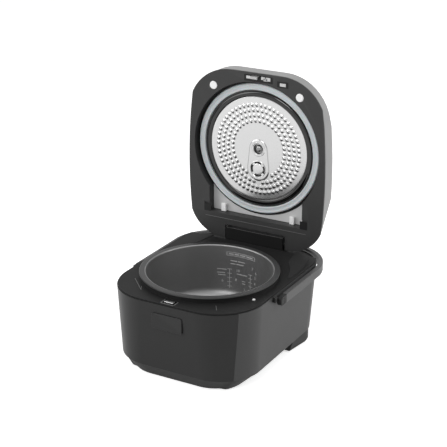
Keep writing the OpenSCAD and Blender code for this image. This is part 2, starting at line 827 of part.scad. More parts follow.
module button_spring() color("silver") translate([0, body_front_y + button_wall, button_z])
    rotate([-90, 0, 0]) coil(stem_r + 1.4, 0.8, 4, guide_front - body_front_y - button_wall);

// ---------- handle ----------
module handle_pins() color("silver") for (s = [-1, 1]) mirror([s < 0 ? 1 : 0, 0, 0]) {
    along_x(body_w / 2 - shell_wall - 4.5, handle_half - 3.4, PIV_Y, pivot_h, pivot_r);
    along_x(body_w / 2 - shell_wall - 4.5, body_w / 2 - shell_wall - 2.5, PIV_Y, pivot_h, pivot_r + 3);
}

module handle_outline(half, rear, r) {
    translate([-half, PIV_Y]) square([2 * half, rear - r - PIV_Y]);
    translate([-(half - r), PIV_Y]) square([2 * (half - r), rear - PIV_Y]);
    for (s = [-1, 1]) translate([s * (half - r), rear - r]) circle(r);
}

module handle() color([0.36, 0.36, 0.37]) difference() {
    union() {
        translate([0, 0, pivot_h - arm_h / 2]) linear_extrude(arm_h) difference() {
            handle_outline(handle_half, bar_y, handle_r);
            translate([0, -1]) handle_outline(arm_in, bar_y - arm_t + 1, handle_r - arm_t);
        }
        for (s = [-1, 1]) mirror([s < 0 ? 1 : 0, 0, 0])
            along_x(arm_in, handle_half, PIV_Y, pivot_h, arm_h / 2);
    }
    along_x(-ACROSS / 2, ACROSS / 2, PIV_Y, pivot_h, pivot_r + running_gap);
    for (s = [-1, 1]) mirror([s < 0 ? 1 : 0, 0, 0])
        along_x(handle_half - 2, handle_half + 1, PIV_Y, pivot_h, pivot_r + 2.2);
}

module handle_caps() color([0.08, 0.08, 0.08]) for (s = [-1, 1]) mirror([s < 0 ? 1 : 0, 0, 0])
    along_x(handle_half - 2, handle_half, PIV_Y, pivot_h, pivot_r + 2.1);

// ---------- pan ----------
module inner_pan() color([0.4, 0.4, 0.41]) translate([0, PY, 0]) rotate_extrude() intersection() {
    half_plane();
    difference() {
        union() {
            translate([0, pan_floor_h]) cup_profile(pan_r, pan_depth, pan_corner_r);
            translate([0, flange_under]) square([flange_r, flange_t]);
        }
        translate([0, pan_floor_h + pan_wall])
            cup_profile(pan_r - pan_wall, pan_depth, pan_corner_r - pan_wall);
    }
}

// ---------- lid shell ----------
// Points round half of the lid seen from above, from its front to its rear.
LID_SIDE_Y = [-side_front, -25, 0, 25, 45, side_rear, wall_rear];
CORNER_STEPS = 12;
function bow(y) = lid_w / 2 - pow(y - bow_ahead, 2) / (2 * lid_bow_r);
function corner_arc(y, r, inset, from, to) = [for (i = [0 : CORNER_STEPS])
    let (a = from + (to - from) * i / CORNER_STEPS)
    [bow(y) - r + (r - inset) * cos(a), y + (r - inset) * sin(a)]];
function lid_points(inset) = concat(
    corner_arc(-lid_front + lid_front_r, lid_front_r, inset, -90, -7),
    [for (y = LID_SIDE_Y) [bow(y) - inset, y]],
    corner_arc(lid_rear - lid_rear_r, lid_rear_r, inset, 3, 90)
);

// Slice of the lid between two lengths ahead of and behind the pan's axis.
module lid_slice(low, top, inset, ahead, behind) {
    half = [for (p = lid_points(inset)) if (p[1] >= -ahead && p[1] <= behind) p];
    for (s = [-1, 1]) mirror([s < 0 ? 1 : 0, 0, 0]) translate([0, PY, low])
        linear_extrude(top - low) polygon(concat([[0, half[0][1]]], half, [[0, half[len(half) - 1][1]]]));
}

// Solid lid with its shoulders and its crown, inset on every side.
module lid_solid(inset, low) {
    wall_top = front_edge_h - inset;
    shoulder_top = side_h - shoulder_h - inset;
    side_top = side_h - inset;
    hull() {
        lid_slice(low, rear_edge_h - inset, inset, lid_front, lid_rear);
        lid_slice(wall_top - THIN, wall_top, inset, lid_front, wall_rear);
        lid_slice(shoulder_top - THIN, shoulder_top, inset + 1, side_front, side_rear);
        lid_slice(side_top - THIN, side_top, inset + shoulder_in, side_front, side_rear);
        translate([-ear_half + inset, PY, ear_h - inset - THIN])
            cube([2 * (ear_half - inset), lid_rear - 1.5 - inset, THIN]);
        translate([0, 0, crown_h - inset - THIN]) linear_extrude(THIN)
            plan(lid_w / 2 - crown_side_in, crown_front, crown_rear, 30, 30, $fn = HULL_FN);
    }
}

LID_SCREW_REACH = 100;
module lid_screw_places() {
    around_pan(LID_SCREW_REACH, 4, 45) children();
}

module notch(half, y, low, high) {
    translate([-half, y, low]) cube([2 * half, DEEP, high - low]);
}

module board_bosses() {
    for (x = [-1, 1], y = [-1, 1])
        translate([x * (panel_w / 2 - 6), panel_y + y * (panel_d / 2 - 4), 0]) children();
}

module lid_shell() color([0.52, 0.52, 0.53]) on_lid() difference() {
    lid_solid(0, liner_top);
    difference() {
        lid_solid(lid_wall, liner_top - 1);
        notch(notch_half + lid_wall, notch_y - lid_wall, liner_top - 2, crown_h + 5);
        lid_screw_places() translate([0, 0, recess_top + ceiling_t]) cylinder(r = 4.5, h = 60);
        board_bosses() translate([0, 0, control_board_top]) cylinder(r = 3, h = 30);
    }
    notch(notch_half, notch_y, liner_top - 2, crown_h + 5);
    for (s = [-1, 1]) mirror([s < 0 ? 1 : 0, 0, 0])
        along_x(notch_half - 1, notch_half + boss_l + FIT, HY, hinge_h, boss_r + FIT);
    lid_screw_places() cylinder(r = 1.6, h = recess_top + 14);
    // recess for the control panel, with windows for the keys and the display
    translate([0, panel_y, crown_h - panel_t]) linear_extrude(10)
        pad(panel_w + 2 * FIT, panel_d + 2 * FIT, 6);
    translate([0, panel_y, crown_h - 9]) linear_extrude(10) pad(panel_w - 22, panel_d - 6, 4);
    translate([0, PY + cap_back, control_board_top]) cylinder(r = cap_r + 0.4, h = 60);
    translate([0, PY + cap_back, deck_top])
        cylinder(r = cap_r + 2 + FIT, h = crown_h - lid_wall - deck_top);
}

// ---------- lid liner ----------
module lid_liner() color([0.21, 0.21, 0.22]) on_lid() difference() {
    union() {
        translate([0, 0, face_h]) linear_extrude(liner_t) lid_plan(0.4);
        translate([0, PY, face_h]) cylinder(r = recess_r + 2, h = recess_top + ceiling_t - face_h);
        translate([-pocket_half - 2, PY, face_h])
            cube([2 * pocket_half + 4, pocket_back + 2, pocket_d + 2]);
        intersection() {
            for (s = [-1, 1]) mirror([s < 0 ? 1 : 0, 0, 0])
                along_x(notch_half, notch_half + boss_l, HY, hinge_h, boss_r);
            translate([-ACROSS / 2, -DEEP, face_h]) cube([ACROSS, 2 * DEEP, TALL]);
        }
    }
    translate([0, PY, face_h - 1]) cylinder(r = recess_r, h = recess_top - face_h + 1);
    translate([-pocket_half, PY, face_h - 1]) cube([2 * pocket_half, pocket_back, pocket_d + 1]);
    translate([-notch_half, notch_y, deck_top]) cube([2 * notch_half, DEEP, TALL]);
    along_x(-ACROSS / 2, ACROSS / 2, HY, hinge_h, shaft_r + running_gap);
    // holes for the bumpers, the screws, the steam spout and the sensor
    bumper_places() translate([0, 0, face_h - 1]) cylinder(r = bumper_r + 0.1, h = liner_t + 2);
    lid_screw_places() cylinder(r = 1.7, h = TALL);
    translate([0, PY, deck_top]) cylinder(r = spout_r + FIT, h = TALL);
    translate([SENSOR_X, PY, deck_top]) cylinder(r = lid_sensor_r + FIT, h = TALL);
    // slot for the striker, and the small square pockets by the hinge
    translate([-slot_half, latch_front - 2.2, face_h - 1]) cube([2 * slot_half, 10, liner_t + 2]);
    for (s = [-1, 1]) translate([s * (pocket_half + 3.6) - 6, PY + pocket_back - 15, face_h - 1])
        cube([12, 13, 2.6]);
}

module bumper_places() {
    for (s = [-1, 1]) translate([s * 75, PY - 96, 0]) children();
}

module lid_bumpers() color([0.93, 0.93, 0.91]) on_lid() bumper_places()
    translate([0, 0, face_h - 1]) cylinder(r = bumper_r, h = liner_t + 1);

module hook_plate() color([0.8, 0.81, 0.82]) on_lid() difference() {
    translate([-pocket_half + FIT, PY + 60, pocket_top - 1.2])
        cube([2 * (pocket_half - FIT), pocket_back - 60 - FIT, 1.2]);
    translate([0, PY, 0]) cylinder(r = recess_r + 0.4, h = crown_h);
}

hook_x = pocket_half - 21.5;
hook_w = 8;
hook_l = 12;
hook_h = 6;
module hook_tabs() color([0.93, 0.93, 0.92]) on_lid() for (s = [-1, 1])
    translate([s * hook_x - hook_w / 2, PY + pocket_back - hook_l, pocket_top - 1.2 - hook_h]) {
        cube([hook_w, hook_l - FIT, hook_h]);
        translate([0, -2, 0]) cube([hook_w, 2 + EPS, 2]);
    }

module striker() color("silver") on_lid() {
    blade = latch_front - CLEAR - striker_t;
    translate([-6, blade, bar_under - 4]) cube([12, striker_t, liner_top - bar_under + 4 + EPS]);
    translate([-6, blade, bar_under - 4]) cube([12, striker_t + CLEAR + latch_bite, 3.6]);
    translate([-slot_half - 4, blade, liner_top]) cube([2 * slot_half + 8, 9, striker_t]);
}

module lid_screws() color("silver") on_lid() lid_screw_places() {
    translate([0, 0, recess_top - 1.7]) cylinder(r = 3, h = 1.7);
    translate([0, 0, recess_top - 1.7]) cylinder(r = 1.5, h = 13);
}

// ---------- steam path, lid sensor ----------
spout_r = vent_r + 1;
well_under = recess_top + ceiling_t;
module steam_well() color([0.3, 0.3, 0.31]) on_lid() difference() {
    union() {
        translate([0, PY + cap_back, well_under])
            cylinder(r = cap_r + 2, h = crown_h - lid_wall - well_under);
        translate([0, PY, carrier_h + 0.6]) cylinder(r = spout_r, h = well_under - carrier_h);
    }
    translate([0, PY + cap_back, well_under + 2]) cylinder(r = cap_r + 0.4, h = 60);
    translate([0, PY, deck_top]) cylinder(r = spout_r - 1.6, h = well_under + 3 - deck_top);
}

SENSOR_X = 45;
lid_sensor_r = 4;
module lid_sensor() color("silver") on_lid() translate([SENSOR_X, PY, 0]) {
    translate([0, 0, plate_h + plate_t + CLEAR])
        cylinder(r = lid_sensor_r, h = well_under - plate_h - plate_t);
    translate([0, 0, well_under]) cylinder(r = lid_sensor_r + 3, h = 2);
}

module steam_cap() color([0.25, 0.25, 0.26]) on_lid() translate([0, PY + cap_back, 0]) difference() {
    union() {
        translate([0, 0, crown_h - 2]) cylinder(r = cap_r, h = 2 + cap_proud);
        difference() {
            translate([0, 0, well_under + 4]) cylinder(r = cap_r, h = crown_h - 2 - well_under - 4 + EPS);
            translate([0, 0, well_under + 6]) cylinder(r = cap_r - 2, h = 60);
        }
    }
    for (i = [-2 : 2]) translate([-8, i * 4 - 1, crown_h - 3]) cube([16, 2, 10]);
    translate([0, 0, well_under]) cylinder(r = 5, h = 8);
}

module steam_cap_seal() color([0.7, 0.72, 0.73]) on_lid()
    translate([0, PY + cap_back, well_under + 2 + CLEAR]) difference() {
        cylinder(r = cap_r, h = 2 - CLEAR);
        translate([0, 0, -1]) cylinder(r = cap_r - 3, h = 4);
    }

// ---------- control panel ----------
module control_panel() color([0.1, 0.1, 0.11]) on_lid()
    translate([0, panel_y, crown_h - panel_t]) difference() {
        linear_extrude(panel_t) pad(panel_w, panel_d, 6);
        translate([0, 0, -1]) linear_extrude(panel_t + 2) pad(display_w + 0.2, display_d + 0.2, 2);
        for (k = KEYS) translate([k[0] * key_x, k[1] * key_y, -1])
            linear_extrude(panel_t + 2) pad(key_w + 2 * key_gap, key_d + 2 * key_gap, 3 + key_gap);
    }

module display_window() color([0.4, 0.45, 0.42]) on_lid() translate([0, panel_y, control_board_top]) {
    linear_extrude(crown_h - control_board_top) pad(display_w, display_d, 2);
}

module control_board() color([0.15, 0.35, 0.2]) on_lid()
    translate([0, panel_y, control_board_top - board_t]) linear_extrude(board_t)
        square([panel_w - 4, panel_d], center = true);

key_under = crown_h - panel_t - 1;
key_peg_under = control_board_top + key_travel;
module key(k) on_lid() translate([k[0] * key_x, panel_y + k[1] * key_y, 0]) {
    translate([0, 0, key_under]) linear_extrude(panel_t + 1.6) pad(key_w, key_d, 3);
    translate([0, 0, key_peg_under + 0.3]) cylinder(r = 2.5, h = key_under - key_peg_under);
}
module key_start() color([0.85, 0.45, 0.2]) key(KEYS[3]);
module key_cancel() color([0.6, 0.6, 0.6]) key(KEYS[2]);
module key_menu() color([0.6, 0.6, 0.6]) key(KEYS[1]);
module key_timer() color([0.6, 0.6, 0.6]) key(KEYS[0]);

// ---------- inner lid ----------
module inner_lid_plate() color([0.83, 0.84, 0.85]) on_lid() translate([0, PY, 0]) difference() {
    rotate_extrude() {
        translate([0, plate_h]) square([plate_r + roll_r, plate_t]);
        translate([plate_r + roll_r, plate_h + plate_t / 2]) circle(roll_r);
    }
    translate([0, 0, plate_h - 2]) cylinder(r = vent_r + 5, h = 6);
    translate([0, valve_back, plate_h - 2]) cylinder(r = valve_r - 3, h = 6);
}

module inner_lid_carrier() color([0.3, 0.31, 0.32]) on_lid() translate([0, PY, carrier_h]) difference() {
    cylinder(r = gasket_r1 + 1, h = carrier_t);
    translate([0, 0, -1]) cylinder(r = plate_r - 4, h = carrier_t + 2);
}

module inner_lid_gasket() color([0.66, 0.69, 0.7]) on_lid() translate([0, PY, 0]) rotate_extrude() {
    translate([gasket_r0 + 2, gasket_h]) square([gasket_r1 - gasket_r0 - 4, gasket_t]);
    translate([gasket_r0 + 2, gasket_h + 2]) circle(2);
    translate([gasket_r1 - 2, gasket_h + 2]) circle(2);
}

module relief_valve() color([0.55, 0.57, 0.58]) on_lid() translate([0, PY + valve_back, 0]) {
    translate([0, 0, plate_h - 1.2]) difference() {
        cylinder(r = valve_r, h = 1.2);
        for (i = [0 : 3]) rotate([0, 0, 90 * i + 45]) translate([8, -3, -1]) cube([2.2, 6, 4]);
    }
    translate([0, 0, plate_h - EPS]) cylinder(r = valve_r - 3.2, h = plate_t + 3);
}

module vent_seal() color([0.7, 0.72, 0.73]) on_lid() translate([0, PY, 0]) difference() {
    union() {
        translate([0, 0, plate_h - 0.8]) cylinder(r = vent_r + 4.8, h = recess_top - 0.5 - plate_h + 0.8);
    }
    cylinder(r = vent_r - 1, h = crown_h);
    translate([0, 0, carrier_h + 0.3]) cylinder(r = spout_r + 0.4, h = 60);
}

base();
rubber_feet();
base_screws();
front_panel();
rear_shell();
deck();
stop_lugs();
pan_housing();
induction_coil();
coil_holder();
ferrite_bars();
sensor_holder();
sensor_cap();
sensor_spring();
fan_frame();
fan_impeller();
power_board();
power_components();
heat_sink();
mains_inlet();
hinge_tower();
hinge_shaft();
hinge_springs();
latch_guide();
latch_slider();
latch_spring();
release_button();
button_spring();
handle_pins();
handle();
handle_caps();
inner_pan();
lid_shell();
lid_liner();
hook_plate();
hook_tabs();
lid_bumpers();
striker();
lid_screws();
lid_sensor();
steam_well();
control_panel();
display_window();
control_board();
key_start();
key_cancel();
key_menu();
key_timer();
inner_lid_plate();
inner_lid_carrier();
inner_lid_gasket();
relief_valve();
vent_seal();
steam_cap();
steam_cap_seal();
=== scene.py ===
"""An induction rice cooker standing open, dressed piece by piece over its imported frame.

Metres, +Z up, front towards -Y. Every piece keeps the place that the frame gives it.
"""
import json
from math import atan2, cos, hypot, pi, radians, sin

import bmesh
import bpy
from mathutils import Matrix, Vector

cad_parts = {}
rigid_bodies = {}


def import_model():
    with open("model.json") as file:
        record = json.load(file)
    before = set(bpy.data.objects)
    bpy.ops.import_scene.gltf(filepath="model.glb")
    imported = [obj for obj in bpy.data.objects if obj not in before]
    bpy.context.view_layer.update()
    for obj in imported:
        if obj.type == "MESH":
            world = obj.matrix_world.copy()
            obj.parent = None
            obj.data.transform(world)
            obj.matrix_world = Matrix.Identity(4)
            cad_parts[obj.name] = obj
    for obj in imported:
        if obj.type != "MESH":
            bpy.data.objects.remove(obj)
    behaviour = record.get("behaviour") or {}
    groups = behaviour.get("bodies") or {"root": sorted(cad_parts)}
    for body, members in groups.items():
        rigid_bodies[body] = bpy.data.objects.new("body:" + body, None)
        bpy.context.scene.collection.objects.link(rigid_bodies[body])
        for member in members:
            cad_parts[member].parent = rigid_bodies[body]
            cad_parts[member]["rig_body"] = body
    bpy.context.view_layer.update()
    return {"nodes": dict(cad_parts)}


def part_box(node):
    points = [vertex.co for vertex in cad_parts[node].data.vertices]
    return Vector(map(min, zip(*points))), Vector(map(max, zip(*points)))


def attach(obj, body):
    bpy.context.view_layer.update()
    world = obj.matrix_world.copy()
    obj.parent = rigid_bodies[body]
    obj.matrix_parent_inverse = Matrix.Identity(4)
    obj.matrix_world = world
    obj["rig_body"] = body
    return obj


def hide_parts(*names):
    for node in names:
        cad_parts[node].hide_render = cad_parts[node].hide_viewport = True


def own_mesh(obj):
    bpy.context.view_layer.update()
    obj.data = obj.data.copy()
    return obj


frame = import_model()
scene = bpy.context.scene


# ---------------------------------------------------------------- rubber feet
# Four nitrile discs pressed into cups under the base. Their rim is rounded and
# their surface is dull, with a fine grain left by the mould. The functions that
# shade and place these first pieces serve the later ones too.
MIX_FIRST, MIX_SECOND, MIX_RESULT = 6, 7, 2  # a colour mix repeats its socket names


def group_tree(name, inputs, outputs):
    """A new shader group, its input node and its output node."""
    tree = bpy.data.node_groups.new(name, "ShaderNodeTree")
    for label, kind, value in inputs:
        socket = tree.interface.new_socket(label, in_out="INPUT", socket_type=kind)
        socket.default_value = value
    for label, kind in outputs:
        tree.interface.new_socket(label, in_out="OUTPUT", socket_type=kind)
    return tree, tree.nodes.new("NodeGroupInput"), tree.nodes.new("NodeGroupOutput")


def node_in(tree, kind, **settings):
    """A node of that kind. Settings that name a socket fill it, the others are attributes."""
    node = tree.nodes.new(kind)
    for name, value in settings.items():
        socket = node.inputs.get(name.replace("_", " "))
        if socket is not None and not hasattr(node, name):
            socket.default_value = value
        else:
            setattr(node, name, value)
    return node


def make_mould_grain():
    """Fine grain of a moulded or cast skin: a roughness that wanders and a shallow normal."""
    tree, given, made = group_tree(
        "mould_grain",
        [("Scale", "NodeSocketFloat", 900.0), ("Depth", "NodeSocketFloat", 2e-5),
         ("Roughness", "NodeSocketFloat", 0.5), ("Spread", "NodeSocketFloat", 0.08)],
        [("Roughness", "NodeSocketFloat"), ("Normal", "NodeSocketVector")])
    link = tree.links.new
    where = node_in(tree, "ShaderNodeTexCoord")
    fine = node_in(tree, "ShaderNodeTexNoise", Detail=3.0, Roughness=0.6)
    link(where.outputs["Object"], fine.inputs["Vector"])
    link(given.outputs["Scale"], fine.inputs["Scale"])
    dent = node_in(tree, "ShaderNodeBump", Strength=1.0)
    link(fine.outputs["Fac"], dent.inputs["Height"])
    link(given.outputs["Depth"], dent.inputs["Distance"])
    broad = node_in(tree, "ShaderNodeTexNoise", Scale=38.0, Detail=4.0, Roughness=0.55)
    link(where.outputs["Object"], broad.inputs["Vector"])
    centred = node_in(tree, "ShaderNodeMath", operation="SUBTRACT")
    centred.inputs[1].default_value = 0.5
    link(broad.outputs["Fac"], centred.inputs[0])
    spread = node_in(tree, "ShaderNodeMath", operation="MULTIPLY_ADD", use_clamp=True)
    link(centred.outputs[0], spread.inputs[0])
    link(given.outputs["Spread"], spread.inputs[1])
    link(given.outputs["Roughness"], spread.inputs[2])
    link(spread.outputs[0], made.inputs["Roughness"])
    link(dent.outputs["Normal"], made.inputs["Normal"])
    return tree


def make_wear_and_highlight_skin():
    """Colour of a used surface: uneven where it is handled, and changed on edges, partly as wear
    and partly as a painted highlight.
    """
    tree, given, made = group_tree(
        "wear_and_edge_highlight_skin",
        [("Colour", "NodeSocketColor", (0.1, 0.1, 0.1, 1)),
         ("Wear And Highlight Colour", "NodeSocketColor", (0.3, 0.3, 0.3, 1)),
         ("Wear And Highlight", "NodeSocketFloat", 0.3), ("Unevenness", "NodeSocketFloat", 0.1)],
        [("Colour", "NodeSocketColor")])
    link = tree.links.new
    where = node_in(tree, "ShaderNodeTexCoord")
    patch = node_in(tree, "ShaderNodeTexNoise", Scale=21.0, Detail=5.0, Roughness=0.62)
    link(where.outputs["Object"], patch.inputs["Vector"])
    shade = node_in(tree, "ShaderNodeMapRange")
    shade.inputs["From Min"].default_value = 0.3
    shade.inputs["From Max"].default_value = 0.7
    link(patch.outputs["Fac"], shade.inputs["Value"])
    uneven = node_in(tree, "ShaderNodeMath", operation="MULTIPLY")
    link(shade.outputs["Result"], uneven.inputs[0])
    link(given.outputs["Unevenness"], uneven.inputs[1])
    handled = node_in(tree, "ShaderNodeMix", data_type="RGBA")
    link(uneven.outputs[0], handled.inputs["Factor"])
    link(given.outputs["Colour"], handled.inputs[MIX_FIRST])
    link(given.outputs["Wear And Highlight Colour"], handled.inputs[MIX_SECOND])
    # Pointiness marks convex edges, partly as wear and partly as a painted highlight.
    corner = node_in(tree, "ShaderNodeNewGeometry")
    edge = node_in(tree, "ShaderNodeMapRange")
    edge.inputs["From Min"].default_value = 0.52
    edge.inputs["From Max"].default_value = 0.62
    link(corner.outputs["Pointiness"], edge.inputs["Value"])
    edge_share = node_in(tree, "ShaderNodeMath", operation="MULTIPLY")
    link(edge.outputs["Result"], edge_share.inputs[0])
    link(given.outputs["Wear And Highlight"], edge_share.inputs[1])
    edge_mix = node_in(tree, "ShaderNodeMix", data_type="RGBA")
    link(edge_share.outputs[0], edge_mix.inputs["Factor"])
    link(handled.outputs[MIX_RESULT], edge_mix.inputs[MIX_FIRST])
    link(given.outputs["Wear And Highlight Colour"], edge_mix.inputs[MIX_SECOND])
    link(edge_mix.outputs[MIX_RESULT], made.inputs["Colour"])
    return tree


MOULD_GRAIN = make_mould_grain()
WEAR_AND_HIGHLIGHT_SKIN = make_wear_and_highlight_skin()


def grey(level, tint=(1.0, 1.0, 1.0)):
    """A screen grey, 0 to 255, as a linear colour."""
    share = level / 255
    linear = share / 12.92 if share <= 0.04045 else ((share + 0.055) / 1.055) ** 2.4
    return tuple(linear * t for t in tint) + (1.0,)


def finish(name, colour, roughness, metallic=0.0, grain=900.0, depth=2e-5, spread=0.08,
           wear_and_highlight=0.3, uneven=0.12, paler=1.7, **constants):
    """A material with mould grain and handling, its edges changed as wear and as painted highlight.
    Constants go to the shader.
    """
    material = bpy.data.materials.new(name)
    material.use_nodes = True
    tree = material.node_tree
    shader = tree.nodes["Principled BSDF"]
    shader.inputs["Metallic"].default_value = metallic
    for label, value in constants.items():
        shader.inputs[label.replace("_", " ")].default_value = value
    skin = node_in(tree, "ShaderNodeGroup", node_tree=WEAR_AND_HIGHLIGHT_SKIN)
    skin.inputs["Colour"].default_value = colour
    skin.inputs["Wear And Highlight Colour"].default_value = tuple(min(1, c * paler) for c in colour[:3]) + (1,)
    skin.inputs["Wear And Highlight"].default_value = wear_and_highlight
    skin.inputs["Unevenness"].default_value = uneven
    tree.links.new(skin.outputs["Colour"], shader.inputs["Base Color"])
    cast = node_in(tree, "ShaderNodeGroup", node_tree=MOULD_GRAIN)
    cast.inputs["Scale"].default_value = grain
    cast.inputs["Depth"].default_value = depth
    cast.inputs["Roughness"].default_value = roughness
    cast.inputs["Spread"].default_value = spread
    tree.links.new(cast.outputs["Roughness"], shader.inputs["Roughness"])
    tree.links.new(cast.outputs["Normal"], shader.inputs["Normal"])
    return material


def add_piece(bm, name, node, material, crease=38, stands_for=True):
    """Makes the bmesh a piece that rides with a node's body and in its place."""
    mesh = bpy.data.meshes.new(name)
    bm.to_mesh(mesh)
    bm.free()
    mesh.shade_smooth()
    mesh.set_sharp_from_angle(angle=radians(crease))
    mesh.materials.append(material)
    piece = bpy.data.objects.new(name, mesh)
    scene.collection.objects.link(piece)
    even = piece.modifiers.new("even_shading", "WEIGHTED_NORMAL")
    even.keep_sharp = True
    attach(piece, frame["nodes"][node]["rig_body"])
    if stands_for:
        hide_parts(node)
    return piece


def round_edges(bm, edges, radius, steps=2):
    """Bevels edges into a rounding."""
    bmesh.ops.bevel(bm, geom=edges, offset=radius, offset_type="OFFSET", affect="EDGES",
                    segments=steps, profile=0.5, material=-1, clamp_overlap=True)


def rounded_copy(node, radius, over=35, steps=3, flat=0.4):
    """A node's mesh, joined up, with its flats made whole and its sharp edges rounded."""
    bm = bmesh.new()
    bm.from_mesh(frame["nodes"][node].data)
    bmesh.ops.remove_doubles(bm, verts=bm.verts, dist=2e-6)
    bmesh.ops.dissolve_limit(bm, angle_limit=radians(flat), verts=bm.verts, edges=bm.edges)
    sharp = [e for e in bm.edges if e.is_manifold and e.calc_face_angle(0) > radians(over)]
    round_edges(bm, sharp, radius, steps)
    return bm


def dress(node, name, radius, material):
    """Gives a node a rounded copy of its own mesh as its piece."""
    return add_piece(rounded_copy(node, radius), name, node, material)


RUBBER = finish("foot_rubber", grey(34), 0.8, grain=1400, depth=4e-5, uneven=0.3)
dress("rubber_feet", "feet_moulding", 0.0004, RUBBER)


# ----------------------------------------------------------------- base, screws
# A polypropylene tray that carries everything. Below its skirt it draws in to a
# plinth, more at the front than at the sides, and two lugs behind its sides hold
# the rear feet. Four steel screws go up into its posts.
BASE_PLASTIC = finish("base_polypropylene", grey(44), 0.6, grain=1100, depth=3e-5,
                      Specular_IOR_Level=0.25)
SCREW_STEEL = finish("screw_steel", grey(170), 0.34, metallic=1.0, grain=2600, depth=6e-6)
SKIRT_TOP, PLINTH_DROP = 0.0198, 0.018
PLINTH_TAPER, PLINTH_SET_BACK = 0.052, 0.0084
LUGS_START, FRONT_START, FRONT_BLEND = 0.04, -0.126, 0.010


def clamped(share):
    """A share, kept between 0 and 1."""
    return min(1, max(0, share))


bm = rounded_copy("base", 0.0006)
for vert in bm.verts:
    low = clamped((SKIRT_TOP - vert.co.z) / PLINTH_DROP)
    if vert.co.y < LUGS_START:
        vert.co.x *= 1 - PLINTH_TAPER * low
    vert.co.y += PLINTH_SET_BACK * low * clamped((FRONT_START - vert.co.y) / FRONT_BLEND)
add_piece(bm, "base_moulding", "base", BASE_PLASTIC)
dress("base_screws", "base_screw_set", 0.0002, SCREW_STEEL)


# ------------------------------------------------------------------ body shells
# Front panel and rear shell are two injection mouldings that meet at a seam beside each front
# corner. The panel is glossier, the shell satin. The panel's darker grey is painted shade on the
# front, and the shell's paler grey is painted light along the side.
# The panel's darker grey is painted shade, the shell's paler grey painted light.
PANEL_PAINTED_SHADE = finish("panel_satin_painted_shade", grey(46), 0.34, grain=1500, depth=6e-6, spread=0.05,
                     wear_and_highlight=0.2, uneven=0.06, paler=1.6, Specular_IOR_Level=0.14)
SHELL_PAINTED_LIGHT = finish("shell_satin_painted_light", grey(66), 0.4, grain=1500, depth=8e-6, spread=0.06,
                    wear_and_highlight=0.2, uneven=0.06, paler=1.5, Specular_IOR_Level=0.2)
dress("front_panel", "front_panel_moulding", 0.0006, PANEL_PAINTED_SHADE)
dress("rear_shell", "rear_shell_moulding", 0.0006, SHELL_PAINTED_LIGHT)


# ------------------------------------------------------- handle stops and deck
# The deck closes the body's top, with a raised ring under the pan's flange. Thin ridges run at its
# front and frame the latch, their pale colour a painted highlight along edges, and a low pad lies
# at each side of the hinge, painted a little paler than the deck as light on its face. Two small
# lugs stop the handle's arms.
DECK_PLASTIC = finish("deck_matte_black", grey(34), 0.5, grain=1300, depth=2.5e-5, spread=0.06,
                      Specular_IOR_Level=0.08)
# This black also paints shade, as patches in the lid's recesses and the valve's slots.
BLACK_PLASTIC_AND_SHADE = finish("black_plastic", grey(26), 0.42, grain=1200, depth=2e-5,
                       Specular_IOR_Level=0.2)
dress("stop_lugs", "stop_lug_pair", 0.0006, BLACK_PLASTIC_AND_SHADE)
dress("deck", "deck_moulding", 0.0006, DECK_PLASTIC)


def rib(bm, start, end, width, foot, top, radius=0.0002):
    """Adds a rounded rib to the bmesh, from point to point of a level surface."""
    start, end = Vector((*start, 0)), Vector((*end, 0))
    run = end - start
    place = (Matrix.Translation((start + end) / 2 + Vector((0, 0, (foot + top) / 2)))
             @ Matrix.Rotation(atan2(run.y, run.x), 4, "Z")
             @ Matrix.Diagonal((run.length + width, width, top - foot, 1)))
    made = bmesh.ops.create_cube(bm, size=1.0, matrix=place)
    edges = dict.fromkeys(edge for vert in made["verts"] for edge in vert.link_edges)
    round_edges(bm, list(edges), radius)


def pad(bm, outline, foot, top, radius):
    """Adds a low pad with that outline, the edge of its raised face rounded."""
    face = bm.faces.new([bm.verts.new((x, y, foot)) for x, y in outline])
    face.normal_update()
    raised = bmesh.ops.extrude_face_region(bm, geom=[face])
    verts = [g for g in raised["geom"] if isinstance(g, bmesh.types.BMVert)]
    bmesh.ops.translate(bm, verts=verts, vec=(0, 0, top - foot))
    round_edges(bm, [g for g in raised["geom"] if isinstance(g, bmesh.types.BMEdge)], radius)
    bmesh.ops.recalc_face_normals(bm, faces=bm.faces)


DECK_TOP, RIDGE_ROOT = 0.132, 0.0005
# The ridges' pale colour is a painted highlight along edges.
EDGE_HIGHLIGHT_PAINT = finish("painted_edge_highlight", grey(96), 0.45, grain=1300, depth=1e-5,
                   Specular_IOR_Level=0.2)
bm = bmesh.new()
for start, end, width, height in [
        ((-0.0905, -0.1000), (-0.0605, -0.1300), 0.0009, 0.0005),
        ((-0.0605, -0.1300), (-0.0665, -0.1195), 0.0008, 0.0005),
        ((0.0640, -0.1250), (0.0720, -0.1375), 0.0008, 0.0005),
        ((-0.0110, -0.1550), (-0.0110, -0.1425), 0.0012, 0.0006),
        ((0.0110, -0.1550), (0.0110, -0.1425), 0.0012, 0.0006),
        ((-0.0110, -0.1550), (0.0110, -0.1550), 0.0012, 0.0006)]:
    rib(bm, start, end, width, DECK_TOP - RIDGE_ROOT, DECK_TOP + height)
add_piece(bm, "deck_ridges", "deck", EDGE_HIGHLIGHT_PAINT, stands_for=False)

# The pads are painted paler than the deck, as light on their faces.
PAD_PAINTED_LIGHT = finish("deck_pad", grey(42), 0.55, grain=1300, depth=2e-5, Specular_IOR_Level=0.08)
PAD_ROOT, PAD_HEIGHT, PAD_ROUNDING = 0.0004, 0.0006, 0.0003
pad_outline = [(0.0820, 0.0700), (0.0975, 0.0450), (0.1085, 0.0150), (0.1125, 0.0150),
               (0.1125, 0.0620), (0.1040, 0.0960), (0.0880, 0.1120), (0.0740, 0.1120)]
bm = bmesh.new()
for side in (1, -1):
    pad(bm, [(x * side, y) for x, y in pad_outline[::side]], DECK_TOP - PAD_ROOT,
        DECK_TOP + PAD_HEIGHT, PAD_ROUNDING)
add_piece(bm, "deck_pads", "deck", PAD_PAINTED_LIGHT, stands_for=False)


